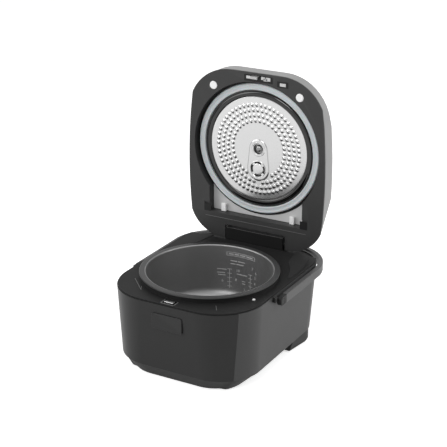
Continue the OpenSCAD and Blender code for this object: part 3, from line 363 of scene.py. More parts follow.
# -------------------------------------------------------- housing and heating
# The pan hangs in a heat resistant housing. Under it lie a flat copper litz coil,
# drawn as a ring for each turn, its resin holder, ferrite bars and a sensor that
# touches the pan. The sensor's spring squashes as the sensor sinks.
HOUSING = finish("housing_plastic", grey(58), 0.6, grain=900, depth=3e-5)
COPPER = finish("copper_litz", (0.62, 0.25, 0.12, 1), 0.4, metallic=1.0, grain=700, depth=1.5e-4)
RESIN = finish("pale_resin", grey(205, (1.0, 0.97, 0.88)), 0.5)
FERRITE = finish("sintered_ferrite", grey(62), 0.55, grain=1800, depth=5e-5)
STEEL = finish("turned_steel", grey(200), 0.24, metallic=1.0, grain=2400, depth=5e-6)
SPRING_STEEL = finish("spring_wire", grey(165), 0.3, metallic=1.0, grain=2400, depth=5e-6)
for node, material, radius in [
        ("pan_housing", HOUSING, 0.0005), ("coil_holder", RESIN, 0.0004),
        ("ferrite_bars", FERRITE, 0.0005), ("sensor_holder", RESIN, 0.0004),
        ("sensor_cap", STEEL, 0.0006)]:
    dress(node, node + "_part", radius, material)
coil = dress("sensor_spring", "sensor_spring_part", 0.0001, SPRING_STEEL)
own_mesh(coil)

PAN_AXIS = Vector((0, -0.032, 0))


def spun(profile, centre, steps):
    """Spins a closed profile of (radius, height) points a full turn about the Z axis."""
    bm = bmesh.new()
    ring = [bm.verts.new((r, 0, h)) for r, h in profile]
    edges = [bm.edges.new((a, b)) for a, b in zip(ring, ring[1:])]
    bmesh.ops.spin(bm, geom=ring + edges, cent=(0, 0, 0), axis=(0, 0, 1), angle=2 * pi,
                   steps=steps, use_merge=True)
    bmesh.ops.remove_doubles(bm, verts=bm.verts, dist=1e-6)
    bmesh.ops.recalc_face_normals(bm, faces=bm.faces)
    bmesh.ops.translate(bm, verts=bm.verts, vec=centre)
    return bm


def arc(r0, h0, radius, start, stop, count):
    """Points on a share of a circle, between two angles in degrees, both ends included."""
    return [(r0 + radius * cos(radians(start + (stop - start) * i / count)),
             h0 + radius * sin(radians(start + (stop - start) * i / count)))
            for i in range(count + 1)]


COIL_TURNS, FIRST_TURN, TURN_PITCH = 14, 0.0286, 0.00306
WIRE_HEIGHT, WIRE_RADIUS = 0.0436, 0.0014
COIL_INNER, COIL_OUTER, COIL_FOOT = 0.0270, 0.0700, 0.0390
coil_profile = [(COIL_INNER, COIL_FOOT)]
for turn in range(COIL_TURNS):
    coil_profile += arc(FIRST_TURN + TURN_PITCH * turn, WIRE_HEIGHT, WIRE_RADIUS, 180, 0, 5)
coil_profile += [(COIL_OUTER, COIL_FOOT), (COIL_INNER, COIL_FOOT)]
add_piece(spun(coil_profile, PAN_AXIS, 96), "litz_winding", "induction_coil", COPPER)


# ----------------------------------------------------------- power electronics
# Beside the housing stand a fan, the power board with its parts and heat sink,
# and the mains inlet, whose two pins stand in a socket at the rear.
BOARD = finish("circuit_board", (0.02, 0.12, 0.05, 1), 0.35, grain=300, depth=3e-5, uneven=0.4)
PARTS = finish("component_case", (0.03, 0.05, 0.16, 1), 0.4)
ALUMINIUM = finish("extruded_aluminium", grey(190), 0.32, metallic=1.0, grain=1600, depth=1e-5)
for node, material, radius in [
        ("fan_frame", BLACK_PLASTIC_AND_SHADE, 0.0004), ("fan_impeller", BLACK_PLASTIC_AND_SHADE, 0.0003),
        ("power_board", BOARD, 0.0002), ("heat_sink", ALUMINIUM, 0.0003),
        ("mains_inlet", BLACK_PLASTIC_AND_SHADE, 0.0005)]:
    dress(node, node + "_part", radius, material)
RELAY = finish("relay_case", grey(215, (1.0, 0.98, 0.92)), 0.45)
bm = rounded_copy("power_components", 0.0006)
RELAY_SIDE = 0.028
for face in bm.faces:
    face.material_index = int(face.calc_center_median().x > RELAY_SIDE)
add_piece(bm, "component_set", "power_components", PARTS).data.materials.append(RELAY)

INLET_X, PIN_OFFSET, PIN_WIDTH, PIN_ROUNDING = -0.043, 0.0095, 0.0016, 0.0003
PIN_ROOT, PIN_TIP, PIN_FOOT, PIN_TOP = 0.1120, 0.1250, 0.0390, 0.0450
bm = bmesh.new()
for side in (-PIN_OFFSET, PIN_OFFSET):
    rib(bm, (INLET_X + side, PIN_ROOT), (INLET_X + side, PIN_TIP), PIN_WIDTH, PIN_FOOT,
        PIN_TOP, PIN_ROUNDING)
add_piece(bm, "inlet_pins", "mains_inlet", SCREW_STEEL, stands_for=False)


# ------------------------------------------------------------------------ hinge
# A tower on the body, with pale ribs on its upper edge as a painted highlight, holds the shaft
# between the lid's two ears. A torsion spring at each side lifts the lid.
HINGE_PLASTIC = finish("hinge_matte_black", grey(32), 0.42, grain=1300, depth=1.5e-5, wear_and_highlight=0.1,
                       uneven=0.05, Specular_IOR_Level=0.08)
dress("hinge_tower", "hinge_tower_moulding", 0.0012, HINGE_PLASTIC)
# Pale ribs along the tower's upper edge paint its highlight.
EDGE_FOOT, EDGE_TOP = 0.1504, 0.15155
bm = bmesh.new()
rib(bm, (-0.0490, 0.1092), (0.0490, 0.1092), 0.0008, EDGE_FOOT, EDGE_TOP)
for side in (1, -1):
    rib(bm, (0.0503 * side, 0.1102), (0.0503 * side, 0.1230), 0.0007, EDGE_FOOT, EDGE_TOP)
add_piece(bm, "hinge_tower_edge", "hinge_tower", EDGE_HIGHLIGHT_PAINT, stands_for=False)
dress("hinge_shaft", "hinge_shaft_rod", 0.0004, STEEL)
dress("hinge_springs", "hinge_spring_pair", 0.0001, SPRING_STEEL)


# ------------------------------------------------------------- button and latch
# The wide button in the front panel pushes a slider, whose bright bar catches the
# striker on the lid. Both have a spring that squashes as they go in.
BUTTON_PLASTIC = finish("button_satin", grey(47), 0.36, grain=1500, depth=8e-6, spread=0.05,
                        Specular_IOR_Level=0.14)
dress("latch_guide", "latch_guide_part", 0.0003, BLACK_PLASTIC_AND_SHADE)
dress("latch_slider", "latch_bar", 0.0005, STEEL)
coil = dress("latch_spring", "latch_spring_part", 0.0001, SPRING_STEEL)
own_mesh(coil)
dress("release_button", "release_button_moulding", 0.0008, BUTTON_PLASTIC)
coil = dress("button_spring", "button_spring_part", 0.0001, SPRING_STEEL)
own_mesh(coil)


# ----------------------------------------------------------------------- handle
# A bow handle turns on two pins in the body's sides. At rest it lies back, behind
# the body. Its knuckles are black, like the caps that cover the pins.
HANDLE_PLASTIC = finish("handle_satin_grey", grey(76), 0.4, grain=1400, depth=1e-5, spread=0.06,
                        Specular_IOR_Level=0.3)
dress("handle_pins", "handle_pin_pair", 0.0004, STEEL)
KNUCKLE_END = -0.0275
bm = rounded_copy("handle", 0.0014)
bmesh.ops.bisect_plane(bm, geom=bm.verts[:] + bm.edges[:] + bm.faces[:], dist=1e-6,
                       plane_co=(0, KNUCKLE_END, 0), plane_no=(0, 1, 0))
for face in bm.faces:
    face.material_index = int(face.calc_center_median().y < KNUCKLE_END)
add_piece(bm, "handle_bow", "handle", HANDLE_PLASTIC).data.materials.append(BLACK_PLASTIC_AND_SHADE)
dress("handle_caps", "handle_cap_pair", 0.0006, BLACK_PLASTIC_AND_SHADE)


# -------------------------------------------------------------------- inner pan
# A deep drawn pan with a rolled flange. Its non-stick skin has a metallic sheen,
# and is darker over the flange and down the outer wall. A white stop pin stands
# on the deck, by the pan's front right.
PAN_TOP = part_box("inner_pan")[1][2]
PAN_COATING = finish("pan_non_stick", grey(136), 0.42, metallic=0.85, grain=2600, depth=6e-6,
                     spread=0.05, uneven=0.08, Specular_IOR_Level=0.3)
LIP_COATING = finish("pan_lip_coating", grey(54), 0.36, metallic=0.3, grain=2600, depth=6e-6,
                     spread=0.05, uneven=0.08, Specular_IOR_Level=0.25)
WALL_RADIUS, INNER_CORNER, OUTER_CORNER = 0.0966, 0.0176, 0.020
CORNER_REACH, CORNER_HEIGHT = 0.079, PAN_TOP - 0.072
LIP_REACH, LIP_CURVE = 0.0984, 0.0018
FLANGE_REACH, FLANGE_ROLL = 0.1055, 0.0015
pan_profile = (
    [(0.0, PAN_TOP - 0.0896)] + arc(CORNER_REACH, CORNER_HEIGHT, INNER_CORNER, -90, 0, 14)
    + [(WALL_RADIUS, PAN_TOP - 0.0032)]
    + arc(LIP_REACH, PAN_TOP - LIP_CURVE, LIP_CURVE, 180, 90, 6)
    + arc(FLANGE_REACH, PAN_TOP - FLANGE_ROLL, FLANGE_ROLL, 90, -40, 7)
    + [(0.1050, PAN_TOP - 0.0025), (0.1000, PAN_TOP - 0.0025), (0.0990, PAN_TOP - 0.0035)]
    + arc(CORNER_REACH, CORNER_HEIGHT, OUTER_CORNER, 0, -90, 14) + [(0.0, PAN_TOP - 0.092)])
bm = spun(pan_profile, PAN_AXIS, 192)
for face in bm.faces:
    middle = face.calc_center_median() - PAN_AXIS
    face.material_index = int(hypot(middle.x, middle.y) > LIP_REACH)
pan = add_piece(bm, "pan_drawing", "inner_pan", PAN_COATING, crease=50)
pan.data.materials.append(LIP_COATING)

STOP_PIN = finish("stop_pin_white", grey(225), 0.4)
STOP_PIN_PLACE = (0.1015, -0.0800, DECK_TOP)
pin_profile = [(0.0, 0.0017), (0.0014, 0.0016), (0.0022, 0.0010), (0.0025, -0.0004),
               (0.0, -0.0004)]
add_piece(spun(pin_profile, STOP_PIN_PLACE, 24), "deck_stop_pin", "deck", STOP_PIN,
          stands_for=False)


# ------------------------------------------------------------------ level marks
# Water levels are screen printed on the pan's wall as two scales with numbers,
# under a framed row of plain bars. The ink stands 0.06 mm proud of the coating.
PRINT_INK = finish("print_ink", grey(190), 0.5, grain=1500, depth=4e-6, uneven=0.3, paler=0.7)
INK = 0.00006
LINE, BAR, HEADING_BAR, TICK = 0.0007, 0.0014, 0.0019, 0.0008
HEADING_LEFT, HEADING_RIGHT, HEADING_HEIGHT, HEADING_TALL = 103.6, 73.3, 0.1280, 0.0058
NUMBER_SIZE = 0.0068


def wrapped(verts, angle, height):
    """Lays flat print on the pan's wall. Its X runs round the wall and its Y runs up."""
    for vert in verts:
        turn = radians(angle) - vert.co.x / WALL_RADIUS
        reach = WALL_RADIUS - INK - vert.co.z
        rise = height + vert.co.y
        vert.co = PAN_AXIS + Vector((reach * cos(turn), reach * sin(turn), rise))


def printed_bar(bm, first, last, height, thick):
    """Prints a bar between two angles, in degrees, cut every 3 degrees or so to curve."""
    span = abs(first - last)
    place = Matrix.Diagonal((radians(span) * WALL_RADIUS, thick, 1, 1))
    made = bmesh.ops.create_grid(bm, x_segments=max(1, round(span / 3)), y_segments=1,
                                 size=0.5, matrix=place)
    wrapped(made["verts"], (first + last) / 2, height)


def number_verts(bm, text, size, thick=0.0):
    """Adds a number that lies flat round the origin, and gives its vertices."""
    curve = bpy.data.curves.new("number", "FONT")
    curve.body, curve.size, curve.resolution_u, curve.extrude = text, size, 2, thick
    curve.align_x, curve.align_y = "CENTER", "CENTER"
    holder = bpy.data.objects.new("number", curve)
    mesh = bpy.data.meshes.new_from_object(holder)
    known = set(bm.verts)
    bm.from_mesh(mesh)
    bpy.data.objects.remove(holder)
    bpy.data.curves.remove(curve)
    bpy.data.meshes.remove(mesh)
    return [vert for vert in bm.verts if vert not in known]


bm = bmesh.new()
for height in (0.1309, 0.1251):
    printed_bar(bm, HEADING_LEFT, HEADING_RIGHT, height, LINE)
for edge in (HEADING_LEFT, HEADING_RIGHT):
    printed_bar(bm, edge + 0.25, edge - 0.25, HEADING_HEIGHT, HEADING_TALL)
for first, last in [(101.5, 97), (96, 91.5), (90.5, 84.5), (83.5, 76)]:
    printed_bar(bm, first, last, HEADING_HEIGHT, HEADING_BAR)
for first, last, height in [(100, 93.5, 0.1165), (92.5, 85, 0.1165), (100, 95, 0.1115),
                            (94, 86.5, 0.1115), (113, 104, 0.1005), (113, 105.5, 0.0945),
                            (112, 105, 0.0905), (93.7, 82.5, 0.0950), (88, 84.5, 0.0842),
                            (88, 84.5, 0.0800)]:
    printed_bar(bm, first, last, height, BAR)
for angle, low, high, step in [(101, 0.0570, 0.1015, 0.0074), (78.7, 0.0655, 0.0985, 0.0066)]:
    printed_bar(bm, angle + 0.22, angle - 0.22, (low + high) / 2, high - low)
    for i in range(int((high - low) / step) + 1):
        printed_bar(bm, angle + 2.2, angle - 2.2, low + step * i + TICK / 2, TICK)
for text, angle, height in [("6", 108, 0.0805), ("8", 94.5, 0.0845), ("4", 94.5, 0.0650),
                            ("10", 92.5, 0.1005), ("2", 108, 0.0650), ("3", 85.5, 0.0698),
                            ("7", 76, 0.1100), ("6", 71.6, 0.1045), ("5", 72.5, 0.0965),
                            ("4", 73, 0.0860), ("3", 73, 0.0760)]:
    wrapped(number_verts(bm, text, NUMBER_SIZE), angle, height)
add_piece(bm, "level_marks", "inner_pan", PRINT_INK, stands_for=False)


# -------------------------------------------------------------------- lid shell
# Silver grey outer moulding of the lid, rounded over its shoulders, and the dark
# liner that closes it from below, with bumpers, hooks, screws and the striker.
# The liner has black patches painted as the shade in its recesses, a pale ledge and a row of small
# bright catches.
LID_SILVER = finish("lid_silver_grey", grey(150), 0.42, metallic=0.25, grain=1500, depth=8e-6,
                    spread=0.06, uneven=0.06, paler=1.3, Specular_IOR_Level=0.3)
LINER = finish("liner_satin_black", grey(54), 0.42, grain=1300, depth=1.5e-5, spread=0.06,
               Specular_IOR_Level=0.25)
PALE_PLATE = finish("pale_plate", grey(205), 0.42, uneven=0.1, paler=1.1)
WHITE_PLASTIC = finish("white_plastic", grey(246), 0.35, uneven=0.03, paler=1.03)
dress("lid_shell", "lid_shell_moulding", 0.001, LID_SILVER)
dress("lid_liner", "lid_liner_moulding", 0.0008, LINER)
dress("hook_plate", "hook_plate_part", 0.0003, PALE_PLATE)
dress("hook_tabs", "hook_tab_pair", 0.0008, WHITE_PLASTIC)
dress("lid_bumpers", "lid_bumper_pair", 0.0012, WHITE_PLASTIC)
STRIKER_STEEL = finish("striker_steel", grey(150), 0.36, metallic=0.8, grain=2000, depth=8e-6)
dress("striker", "striker_plate", 0.0004, STRIKER_STEEL)
dress("lid_screws", "lid_screw_set", 0.0003, SCREW_STEEL)
dress("lid_sensor", "lid_sensor_can", 0.0004, STEEL)

HINGE_SHIFT = (0, -0.0225, 0.2559)
LID_TURN = Matrix.Translation(HINGE_SHIFT) @ Matrix.Rotation(-pi / 2, 4, "X")
LINER_FACE, SHADE_PATCH_ROOT, SHADE_PATCH_ROUNDING = 0.1341, 0.0004, 0.0002


def on_lid(bm):
    """Turns a bmesh that is made on the closed lid up to the lid's place."""
    bmesh.ops.transform(bm, matrix=LID_TURN, verts=bm.verts)
    return bm


# Black patches on the liner paint the shade in its recesses and slots.
bm = bmesh.new()
for left, right, front, back, proud in [
        (-0.0205, 0.0285, -0.1535, -0.1430, 0.0003), (0.0365, 0.0555, -0.1490, -0.1395, 0.0003),
        (0.0800, 0.0925, 0.0705, 0.0835, 0.0004), (-0.0925, -0.0800, 0.0705, 0.0835, 0.0004)]:
    pad(bm, [(left, front), (right, front), (right, back), (left, back)],
        LINER_FACE - proud, LINER_FACE + SHADE_PATCH_ROOT, SHADE_PATCH_ROUNDING)
add_piece(on_lid(bm), "liner_painted_recess_shade", "lid_liner", BLACK_PLASTIC_AND_SHADE, stands_for=False)

LINER_EDGE = finish("liner_pale_edge", grey(92), 0.4, grain=1300, depth=1e-5,
                    Specular_IOR_Level=0.3)
LEDGE_HALF, LEDGE_Y, LEDGE_WIDTH = 0.0900, 0.0912, 0.0009
bm = bmesh.new()
rib(bm, (-LEDGE_HALF, LEDGE_Y), (LEDGE_HALF, LEDGE_Y), LEDGE_WIDTH, LINER_FACE - 0.0005,
    LINER_FACE + 0.0005)
add_piece(on_lid(bm), "liner_ledge", "lid_liner", LINER_EDGE, stands_for=False)

CATCH_METAL = finish("catch_metal", grey(172), 0.35, metallic=0.7, grain=2000, depth=6e-6)
bm = bmesh.new()
for x, width, y, deep in [(-0.0130, 0.0040, -0.1490, 0.0044), (0.0125, 0.0032, -0.1500, 0.0046),
                          (0.0166, 0.0034, -0.1482, 0.0042), (0.0212, 0.0030, -0.1494, 0.0056)]:
    rib(bm, (x - width / 3, y), (x + width / 3, y), deep, LINER_FACE - 0.0009, LINER_FACE - 0.0002)
rib(bm, (0.0440, -0.1442), (0.0490, -0.1442), 0.0050, LINER_FACE - 0.0012, LINER_FACE, 0.0003)
add_piece(on_lid(bm), "catch_bits", "striker", CATCH_METAL, stands_for=False)


# ---------------------------------------------------------- steam path and keys
# A well in the lid takes the lift-out steam cap. In front of it lies the control
# panel, with a display window and four keys over their board. The display shows
# a time in dark figures over two short bars, and plain bars mark the keys.
CARRIER = finish("carrier_black", grey(40), 0.35)
PANEL_FILM = finish("panel_film", grey(24), 0.12, grain=200, depth=2e-6, spread=0.03)
DISPLAY = finish("display_glass", grey(118, (0.92, 1.0, 0.9)), 0.1, grain=200, depth=1e-6)
KEY_GREY = finish("key_grey", grey(150), 0.45)
KEY_AMBER = finish("key_amber", (0.65, 0.17, 0.03, 1), 0.45)
CAP_PLASTIC = finish("cap_plastic", grey(58), 0.42)
SILICONE = finish("silicone_grey", grey(205, (0.93, 0.99, 1.02)), 0.42, grain=500, depth=1e-5,
                  uneven=0.1, paler=1.15, Subsurface_Weight=0.15, Subsurface_Scale=0.002)
for node, material, radius in [
        ("steam_well", CARRIER, 0.0004), ("control_panel", PANEL_FILM, 0.0003),
        ("display_window", DISPLAY, 0.0003), ("control_board", BOARD, 0.0002),
        ("key_start", KEY_AMBER, 0.0005), ("key_cancel", KEY_GREY, 0.0005),
        ("key_menu", KEY_GREY, 0.0005), ("key_timer", KEY_GREY, 0.0005),
        ("steam_cap", CAP_PLASTIC, 0.0006), ("steam_cap_seal", SILICONE, 0.0003)]:
    dress(node, node + "_part", radius, material)

SEGMENT = finish("display_segment", grey(28), 0.35, grain=1500, depth=2e-6)
CROWN_TOP, KEY_TOP = 0.1781, 0.1787
FIGURE_SIZE, FIGURE_PROUD, MARK_ROOT, MARK_ROUNDING = 0.0125, 0.00004, 0.0001, 0.00002
BACK_ROW, FRONT_ROW, FIGURE_ROW, KEY_COLUMN = -0.0575, -0.0725, -0.0658, 0.032
bm = bmesh.new()
figures = number_verts(bm, "12:30", FIGURE_SIZE, FIGURE_PROUD)
bmesh.ops.translate(bm, verts=figures, vec=(0, FIGURE_ROW, CROWN_TOP))
for left, right in [(-0.0165, -0.0105), (-0.0070, -0.0010)]:
    rib(bm, (left, BACK_ROW), (right, BACK_ROW), 0.0012, CROWN_TOP - MARK_ROOT,
        CROWN_TOP + FIGURE_PROUD, MARK_ROUNDING)
add_piece(on_lid(bm), "display_figures", "display_window", SEGMENT, stands_for=False)
for node, x, y, bars in [
        ("key_start", KEY_COLUMN, BACK_ROW, [(0.0020, 0.0)]),
        ("key_cancel", KEY_COLUMN, FRONT_ROW, [(0.0014, 0.0)]),
        ("key_menu", -KEY_COLUMN, BACK_ROW, [(0.0024, 0.0016), (0.0024, 0.0), (0.0024, -0.0016)]),
        ("key_timer", -KEY_COLUMN, FRONT_ROW, [(0.0020, 0.0010), (0.0010, -0.0010)])]:
    bm = bmesh.new()
    for half, rise in bars:
        rib(bm, (x - half, y + rise), (x + half, y + rise), 0.0007, KEY_TOP - MARK_ROOT,
            KEY_TOP + 0.00005, MARK_ROUNDING)
    add_piece(on_lid(bm), node + "_mark", node, SEGMENT, stands_for=False)


# -------------------------------------------------------------------- inner lid
# The lift-out inner lid: a stamped steel plate with rings of dew points and a drop shaped emboss
# round its relief valve and steam vent. Painted shade darkens each dew point's inner side and the
# emboss's crease. A polished rim, painted dark as a dark reflection, a dark carrier and a silicone
# gasket hold it, and black patches paint the shade in the valve's slots.
PLATE_FACE, PLATE_BACK = PAN_TOP + 0.003, PAN_TOP + 0.0038
PLATE_BORE, PLATE_EDGE = 0.0085, 0.0925
PLATE_STEEL = finish("stamped_steel", grey(192), 0.2, metallic=1.0, grain=2400, depth=3e-6,
                     spread=0.06, wear_and_highlight=0.0, uneven=0.08, paler=1.1)
DEW_RINGS = [(0.0460, 37), (0.0545, 44), (0.0630, 51), (0.0715, 58)]
DEW_RADIUS, DEW_HEIGHT = 0.0037, 0.0020
VALVE_BACK, VENT_EMBOSS, VALVE_EMBOSS = 0.033, 0.0150, 0.0185
EMBOSS_HEIGHT, EMBOSS_SLOPE = 0.0008, 0.0014
CREASE_SHADE, CREASE_OUT, CREASE_HALF = 0.75, 0.0004, 0.0009
SPOT_INWARD, SPOT_RADIUS, SHADE_DEPTH = 0.0019, 0.0015, 0.72


def teardrop(x, y):
    """Signed distance to the outline that joins the vent's circle and the valve's."""
    lean = (VENT_EMBOSS - VALVE_EMBOSS) / VALVE_BACK
    level = (1 - lean * lean) ** 0.5
    x = abs(x)
    along = x * -lean + y * level
    if along < 0:
        return hypot(x, y) - VENT_EMBOSS
    if along > level * VALVE_BACK:
        return hypot(x, y - VALVE_BACK) - VALVE_EMBOSS
    return x * level + y * lean - VENT_EMBOSS


def dew_points(x, y):
    """The ring and centre of each dew point near a point. The emboss has none."""
    for ring, count in DEW_RINGS:
        if abs(hypot(x, y) - ring) < DEW_RADIUS:
            pitch = 2 * pi / count
            angle = round(atan2(y, x) / pitch) * pitch
            middle_x, middle_y = ring * cos(angle), ring * sin(angle)
            if teardrop(middle_x, middle_y) > DEW_RADIUS:
                yield ring, middle_x, middle_y


def stamped(x, y):
    """How far the plate stands out at a point, in its own plane."""
    step = clamped(0.5 - teardrop(x, y) / EMBOSS_SLOPE)
    height = EMBOSS_HEIGHT * step * step * (3 - 2 * step)
    for _, middle_x, middle_y in dew_points(x, y):
        near = hypot(x - middle_x, y - middle_y) / DEW_RADIUS
        if near < 1:
            height += DEW_HEIGHT * (0.5 + 0.5 * cos(pi * near))
    return height


def painted_dew_shade(x, y):
    """Painted shade on the steel: a dark spot on each dew point's inner side and a dark line along
    the emboss's crease.
    """
    shade = CREASE_SHADE * clamped(1 - abs(teardrop(x, y) - CREASE_OUT) / CREASE_HALF)
    for ring, middle_x, middle_y in dew_points(x, y):
        inward = 1 - SPOT_INWARD / ring
        inner = hypot(x - middle_x * inward, y - middle_y * inward)
        shade = max(shade, clamped(1.5 - inner / SPOT_RADIUS))
    return shade


def shade_by_attribute(material, name, depth):
    """Lets a mesh attribute darken the material's colour."""
    tree = material.node_tree
    shader = tree.nodes["Principled BSDF"]
    colour = shader.inputs["Base Color"].links[0].from_socket
    given = node_in(tree, "ShaderNodeAttribute", attribute_name=name)
    dark = node_in(tree, "ShaderNodeMix", data_type="RGBA")
    dark.blend_type = "MULTIPLY"
    scaled = node_in(tree, "ShaderNodeMath", operation="MULTIPLY")
    scaled.inputs[1].default_value = depth
    tree.links.new(given.outputs["Fac"], scaled.inputs[0])
    tree.links.new(scaled.outputs[0], dark.inputs["Factor"])
    tree.links.new(colour, dark.inputs[MIX_FIRST])
    dark.inputs[MIX_SECOND].default_value = (0.06, 0.06, 0.06, 1)
    tree.links.new(dark.outputs[MIX_RESULT], shader.inputs["Base Color"])


def from_plate(profile):
    """Lifts a profile whose heights are counted from the plate's face."""
    return [(reach, PLATE_FACE + height) for reach, height in profile]


EMBOSS_START, EMBOSS_STEP, EMBOSS_STEPS = 0.010, 0.0007, 46
DEW_START, DEW_STEP, DEW_STEPS = 0.0422, 0.00095, 36
plate_profile = (
    [(PLATE_BORE, PLATE_BACK), (PLATE_BORE, PLATE_FACE)]
    + [(EMBOSS_START + EMBOSS_STEP * i, PLATE_FACE) for i in range(EMBOSS_STEPS)]
    + [(DEW_START + DEW_STEP * i, PLATE_FACE) for i in range(DEW_STEPS)]
    + from_plate([(0.0785, 0), (0.0810, 0), (0.0830, 0), (0.0842, 0.0002), (0.0852, 0.0006),
                  (PLATE_EDGE, 0.0007)])
    + [(PLATE_EDGE, PLATE_BACK + 0.0006), (0.084, PLATE_BACK + 0.0006), (0.05, PLATE_BACK),
       (PLATE_BORE, PLATE_BACK)])
bm = spun(plate_profile, (0, 0, 0), 600)
# The attribute holds painted shade: dark spots on the dew points and a dark line along the crease.
painted_shade = bm.verts.layers.float.new("painted_shade")
for vert in bm.verts:
    if abs(vert.co.z - PLATE_FACE) < 1e-6:
        vert[painted_shade] = painted_dew_shade(vert.co.x, vert.co.y)
        vert.co.z -= stamped(vert.co.x, vert.co.y)
bmesh.ops.translate(bm, verts=bm.verts, vec=PAN_AXIS)
DEW_STEEL = finish("dew_plate_steel", grey(190), 0.2, metallic=1.0, grain=2400, depth=2e-6,
                   spread=0.06, wear_and_highlight=0.0, uneven=0.08, paler=1.1)
shade_by_attribute(DEW_STEEL, "painted_shade", SHADE_DEPTH)
add_piece(on_lid(bm), "stamped_plate", "inner_lid_plate", DEW_STEEL, crease=60)
# The rim's dark base colour paints the dark reflection of a polished rim.
RIM_CHROME = finish("rim_painted_dark_reflection", grey(60), 0.06, metallic=1.0, grain=1200, depth=2e-6,
                    spread=0.03, wear_and_highlight=0.0, uneven=0.05, paler=1.3)
RIM_REACH, RIM_HALF, RIM_BACK, RIM_DEEP = 0.0882, 0.0044, 0.0010, 0.0020
rim_profile = from_plate([(0.0838, 0.0012)])
for degrees in range(180, 361, 12):
    turn = radians(degrees)
    rim_profile.append((RIM_REACH + RIM_HALF * cos(turn),
                        PLATE_FACE + RIM_BACK + RIM_DEEP * sin(turn)))
rim_profile += from_plate([(0.0926, 0.0012), (0.0838, 0.0012)])
add_piece(on_lid(spun(rim_profile, PAN_AXIS, 192)), "plate_rim", "inner_lid_plate", RIM_CHROME)
dress("inner_lid_carrier", "inner_lid_ring", 0.0004, CARRIER)

GASKET_TIP, GASKET_ROOT = PAN_TOP + 0.001, PAN_TOP + 0.005
gasket_profile = (
    [(0.0955, GASKET_ROOT), (0.0953, GASKET_TIP + 0.0022)]
    + arc(0.0968, GASKET_TIP + 0.0016, 0.0015, 180, 300, 6)
    + [(0.0990, GASKET_TIP + 0.0006), (0.1003, GASKET_TIP + 0.0007), (0.1012, GASKET_TIP + 0.0004)]
    + arc(0.1036, GASKET_TIP + 0.0022, 0.0022, 230, 360, 8)
    + [(0.1060, GASKET_TIP + 0.0030), (0.1060, GASKET_ROOT), (0.0955, GASKET_ROOT)])
add_piece(on_lid(spun(gasket_profile, PAN_AXIS, 192)), "lid_gasket", "inner_lid_gasket", SILICONE)

VALVE_AXIS = PAN_AXIS + Vector((0, VALVE_BACK, 0))
valve_profile = from_plate([
    (0.0, -0.0018), (0.0082, -0.0018), (0.0090, -0.0015), (0.0094, -0.0010), (0.0125, -0.0010),
    (0.0127, -0.0016), (0.0131, -0.0018), (0.0136, -0.0015), (0.0137, 0), (0.0095, 0.0002),
    (0.0095, 0.0038), (0.0, 0.0038)])
add_piece(on_lid(spun(valve_profile, VALVE_AXIS, 96)), "relief_valve_part", "relief_valve",
          PLATE_STEEL)
# Black patches in the valve's groove paint the shade in its slots.
SLOT_ANGLE = 64
slot_profile = from_plate([(0.0096, -0.0006), (0.0096, -0.0013), (0.0124, -0.0013),
                           (0.0124, -0.0006)])
bm = bmesh.new()
for quarter in (0, 90, 180, 270):
    start = radians(quarter - SLOT_ANGLE / 2)
    face = bm.faces.new([bm.verts.new((reach * cos(start), reach * sin(start), height))
                         for reach, height in slot_profile])
    bmesh.ops.spin(bm, geom=[face], cent=(0, 0, 0), axis=(0, 0, 1), angle=radians(SLOT_ANGLE),
                   steps=12)
bmesh.ops.recalc_face_normals(bm, faces=bm.faces)
bmesh.ops.translate(bm, verts=bm.verts, vec=VALVE_AXIS)
add_piece(on_lid(bm), "valve_slot_painted_shade", "relief_valve", BLACK_PLASTIC_AND_SHADE, stands_for=False)

collar_profile = from_plate([
    (0.0120, 0.0002), (0.0120, -0.0009), (0.0113, -0.0015), (0.0100, -0.0015), (0.0092, -0.0008),
    (0.0083, 0.0004), (0.0078, 0.0025), (0.0078, 0.0065), (0.0092, 0.0065), (0.0092, 0.0010),
    (0.0120, 0.0002)])
add_piece(on_lid(spun(collar_profile, PAN_AXIS, 96)), "vent_collar", "vent_seal", PLATE_STEEL)
VENT_METAL = finish("vent_metal", grey(128), 0.2, metallic=1.0, grain=2000, depth=4e-6)
dome_profile = (from_plate([(0.0, -0.0007)]) + arc(0.0018, PLATE_FACE + 0.0035, 0.0042, -90, 0, 8)
                + from_plate([(0.0079, 0.0035), (0.0079, 0.0045), (0.0, 0.0045)]))
add_piece(on_lid(spun(dome_profile, PAN_AXIS, 64)), "vent_dome", "vent_seal", VENT_METAL,
          stands_for=False)


# ------------------------------------------------------------ camera and studio
# A pale floor that keeps the cooker's shadow, a white surround that glossy skins
# mirror, and four large soft lamps. The floor glows a little for the camera and
# for mirrors, and the surround is dim where it only lights.
FLOOR_HALF, FLOOR_GLOW, FLOOR_MIRRORED, DIFFUSE_SKY = 12.0, 0.66, 0.42, 0.25
bm = bmesh.new()
bmesh.ops.create_grid(bm, x_segments=2, y_segments=2, size=FLOOR_HALF)
floor_mesh = bpy.data.meshes.new("studio_floor")
bm.to_mesh(floor_mesh)
bm.free()
floor = bpy.data.objects.new("studio_floor", floor_mesh)
scene.collection.objects.link(floor)
floor_paint = bpy.data.materials.new("studio_paint")
floor_paint.use_nodes = True
tree = floor_paint.node_tree
shader = tree.nodes["Principled BSDF"]
shader.inputs["Base Color"].default_value = (0.9, 0.9, 0.9, 1)
shader.inputs["Roughness"].default_value = 0.9
shader.inputs["Emission Color"].default_value = (1, 1, 1, 1)
rays = node_in(tree, "ShaderNodeLightPath")
mirrored = node_in(tree, "ShaderNodeMath", operation="MULTIPLY")
mirrored.inputs[1].default_value = FLOOR_MIRRORED
tree.links.new(rays.outputs["Is Glossy Ray"], mirrored.inputs[0])
glow = node_in(tree, "ShaderNodeMath", operation="MULTIPLY_ADD")
glow.inputs[1].default_value = FLOOR_GLOW
tree.links.new(rays.outputs["Is Camera Ray"], glow.inputs[0])
tree.links.new(mirrored.outputs[0], glow.inputs[2])
tree.links.new(glow.outputs[0], shader.inputs["Emission Strength"])
floor_mesh.materials.append(floor_paint)

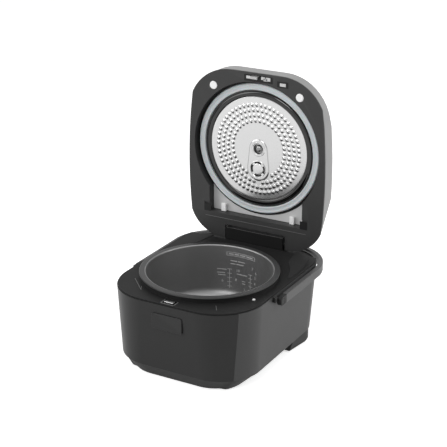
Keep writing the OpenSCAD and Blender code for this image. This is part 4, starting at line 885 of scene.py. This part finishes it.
world = bpy.data.worlds.new("studio_surround")
scene.world = world
world.use_nodes = True
tree = world.node_tree
sky = tree.nodes["Background"]
sky.inputs["Color"].default_value = (1, 1, 1, 1)
rays = node_in(tree, "ShaderNodeLightPath")
direct = node_in(tree, "ShaderNodeMath", operation="MAXIMUM")
tree.links.new(rays.outputs["Is Camera Ray"], direct.inputs[0])
tree.links.new(rays.outputs["Is Glossy Ray"], direct.inputs[1])
through = node_in(tree, "ShaderNodeMath", operation="MAXIMUM")
tree.links.new(direct.outputs[0], through.inputs[0])
tree.links.new(rays.outputs["Is Transmission Ray"], through.inputs[1])
level = node_in(tree, "ShaderNodeMapRange")
level.inputs["To Min"].default_value = DIFFUSE_SKY
level.inputs["To Max"].default_value = 1.0
tree.links.new(through.outputs[0], level.inputs["Value"])
tree.links.new(level.outputs["Result"], sky.inputs["Strength"])


def lamp(name, place, aim, size, power):
    """A square soft lamp that faces a point."""
    light = bpy.data.lights.new(name, "AREA")
    light.size = size
    light.energy = power
    holder = bpy.data.objects.new(name, light)
    holder.location = place
    holder.rotation_euler = (Vector(aim) - Vector(place)).to_track_quat("-Z", "Y").to_euler()
    scene.collection.objects.link(holder)


lamp("key_lamp", (-1.9, -1.5, 1.3), (0, 0, 0.15), 1.8, 30)
lamp("front_lamp", (-0.1, -2.4, 1.6), (0, 0, 0.12), 0.8, 16)
lamp("side_lamp", (2.1, 0.9, 1.4), (0, 0, 0.12), 2.2, 36)
lamp("top_lamp", (0.2, -0.3, 2.8), (0, 0, 0), 2.0, 16)

CAMERA_PLACE = (0.9174, -1.6153, 0.9322)
CAMERA_DOWN, CAMERA_ROUND = 21.4, 29.435
camera = bpy.data.cameras.new("studio_camera")
camera.sensor_width, camera.lens = 36, 106.0
viewer = bpy.data.objects.new("studio_camera", camera)
viewer.location = CAMERA_PLACE
viewer.rotation_euler = (radians(90 - CAMERA_DOWN), 0, radians(CAMERA_ROUND))
scene.collection.objects.link(viewer)
scene.camera = viewer
scene.view_settings.view_transform = "Standard"
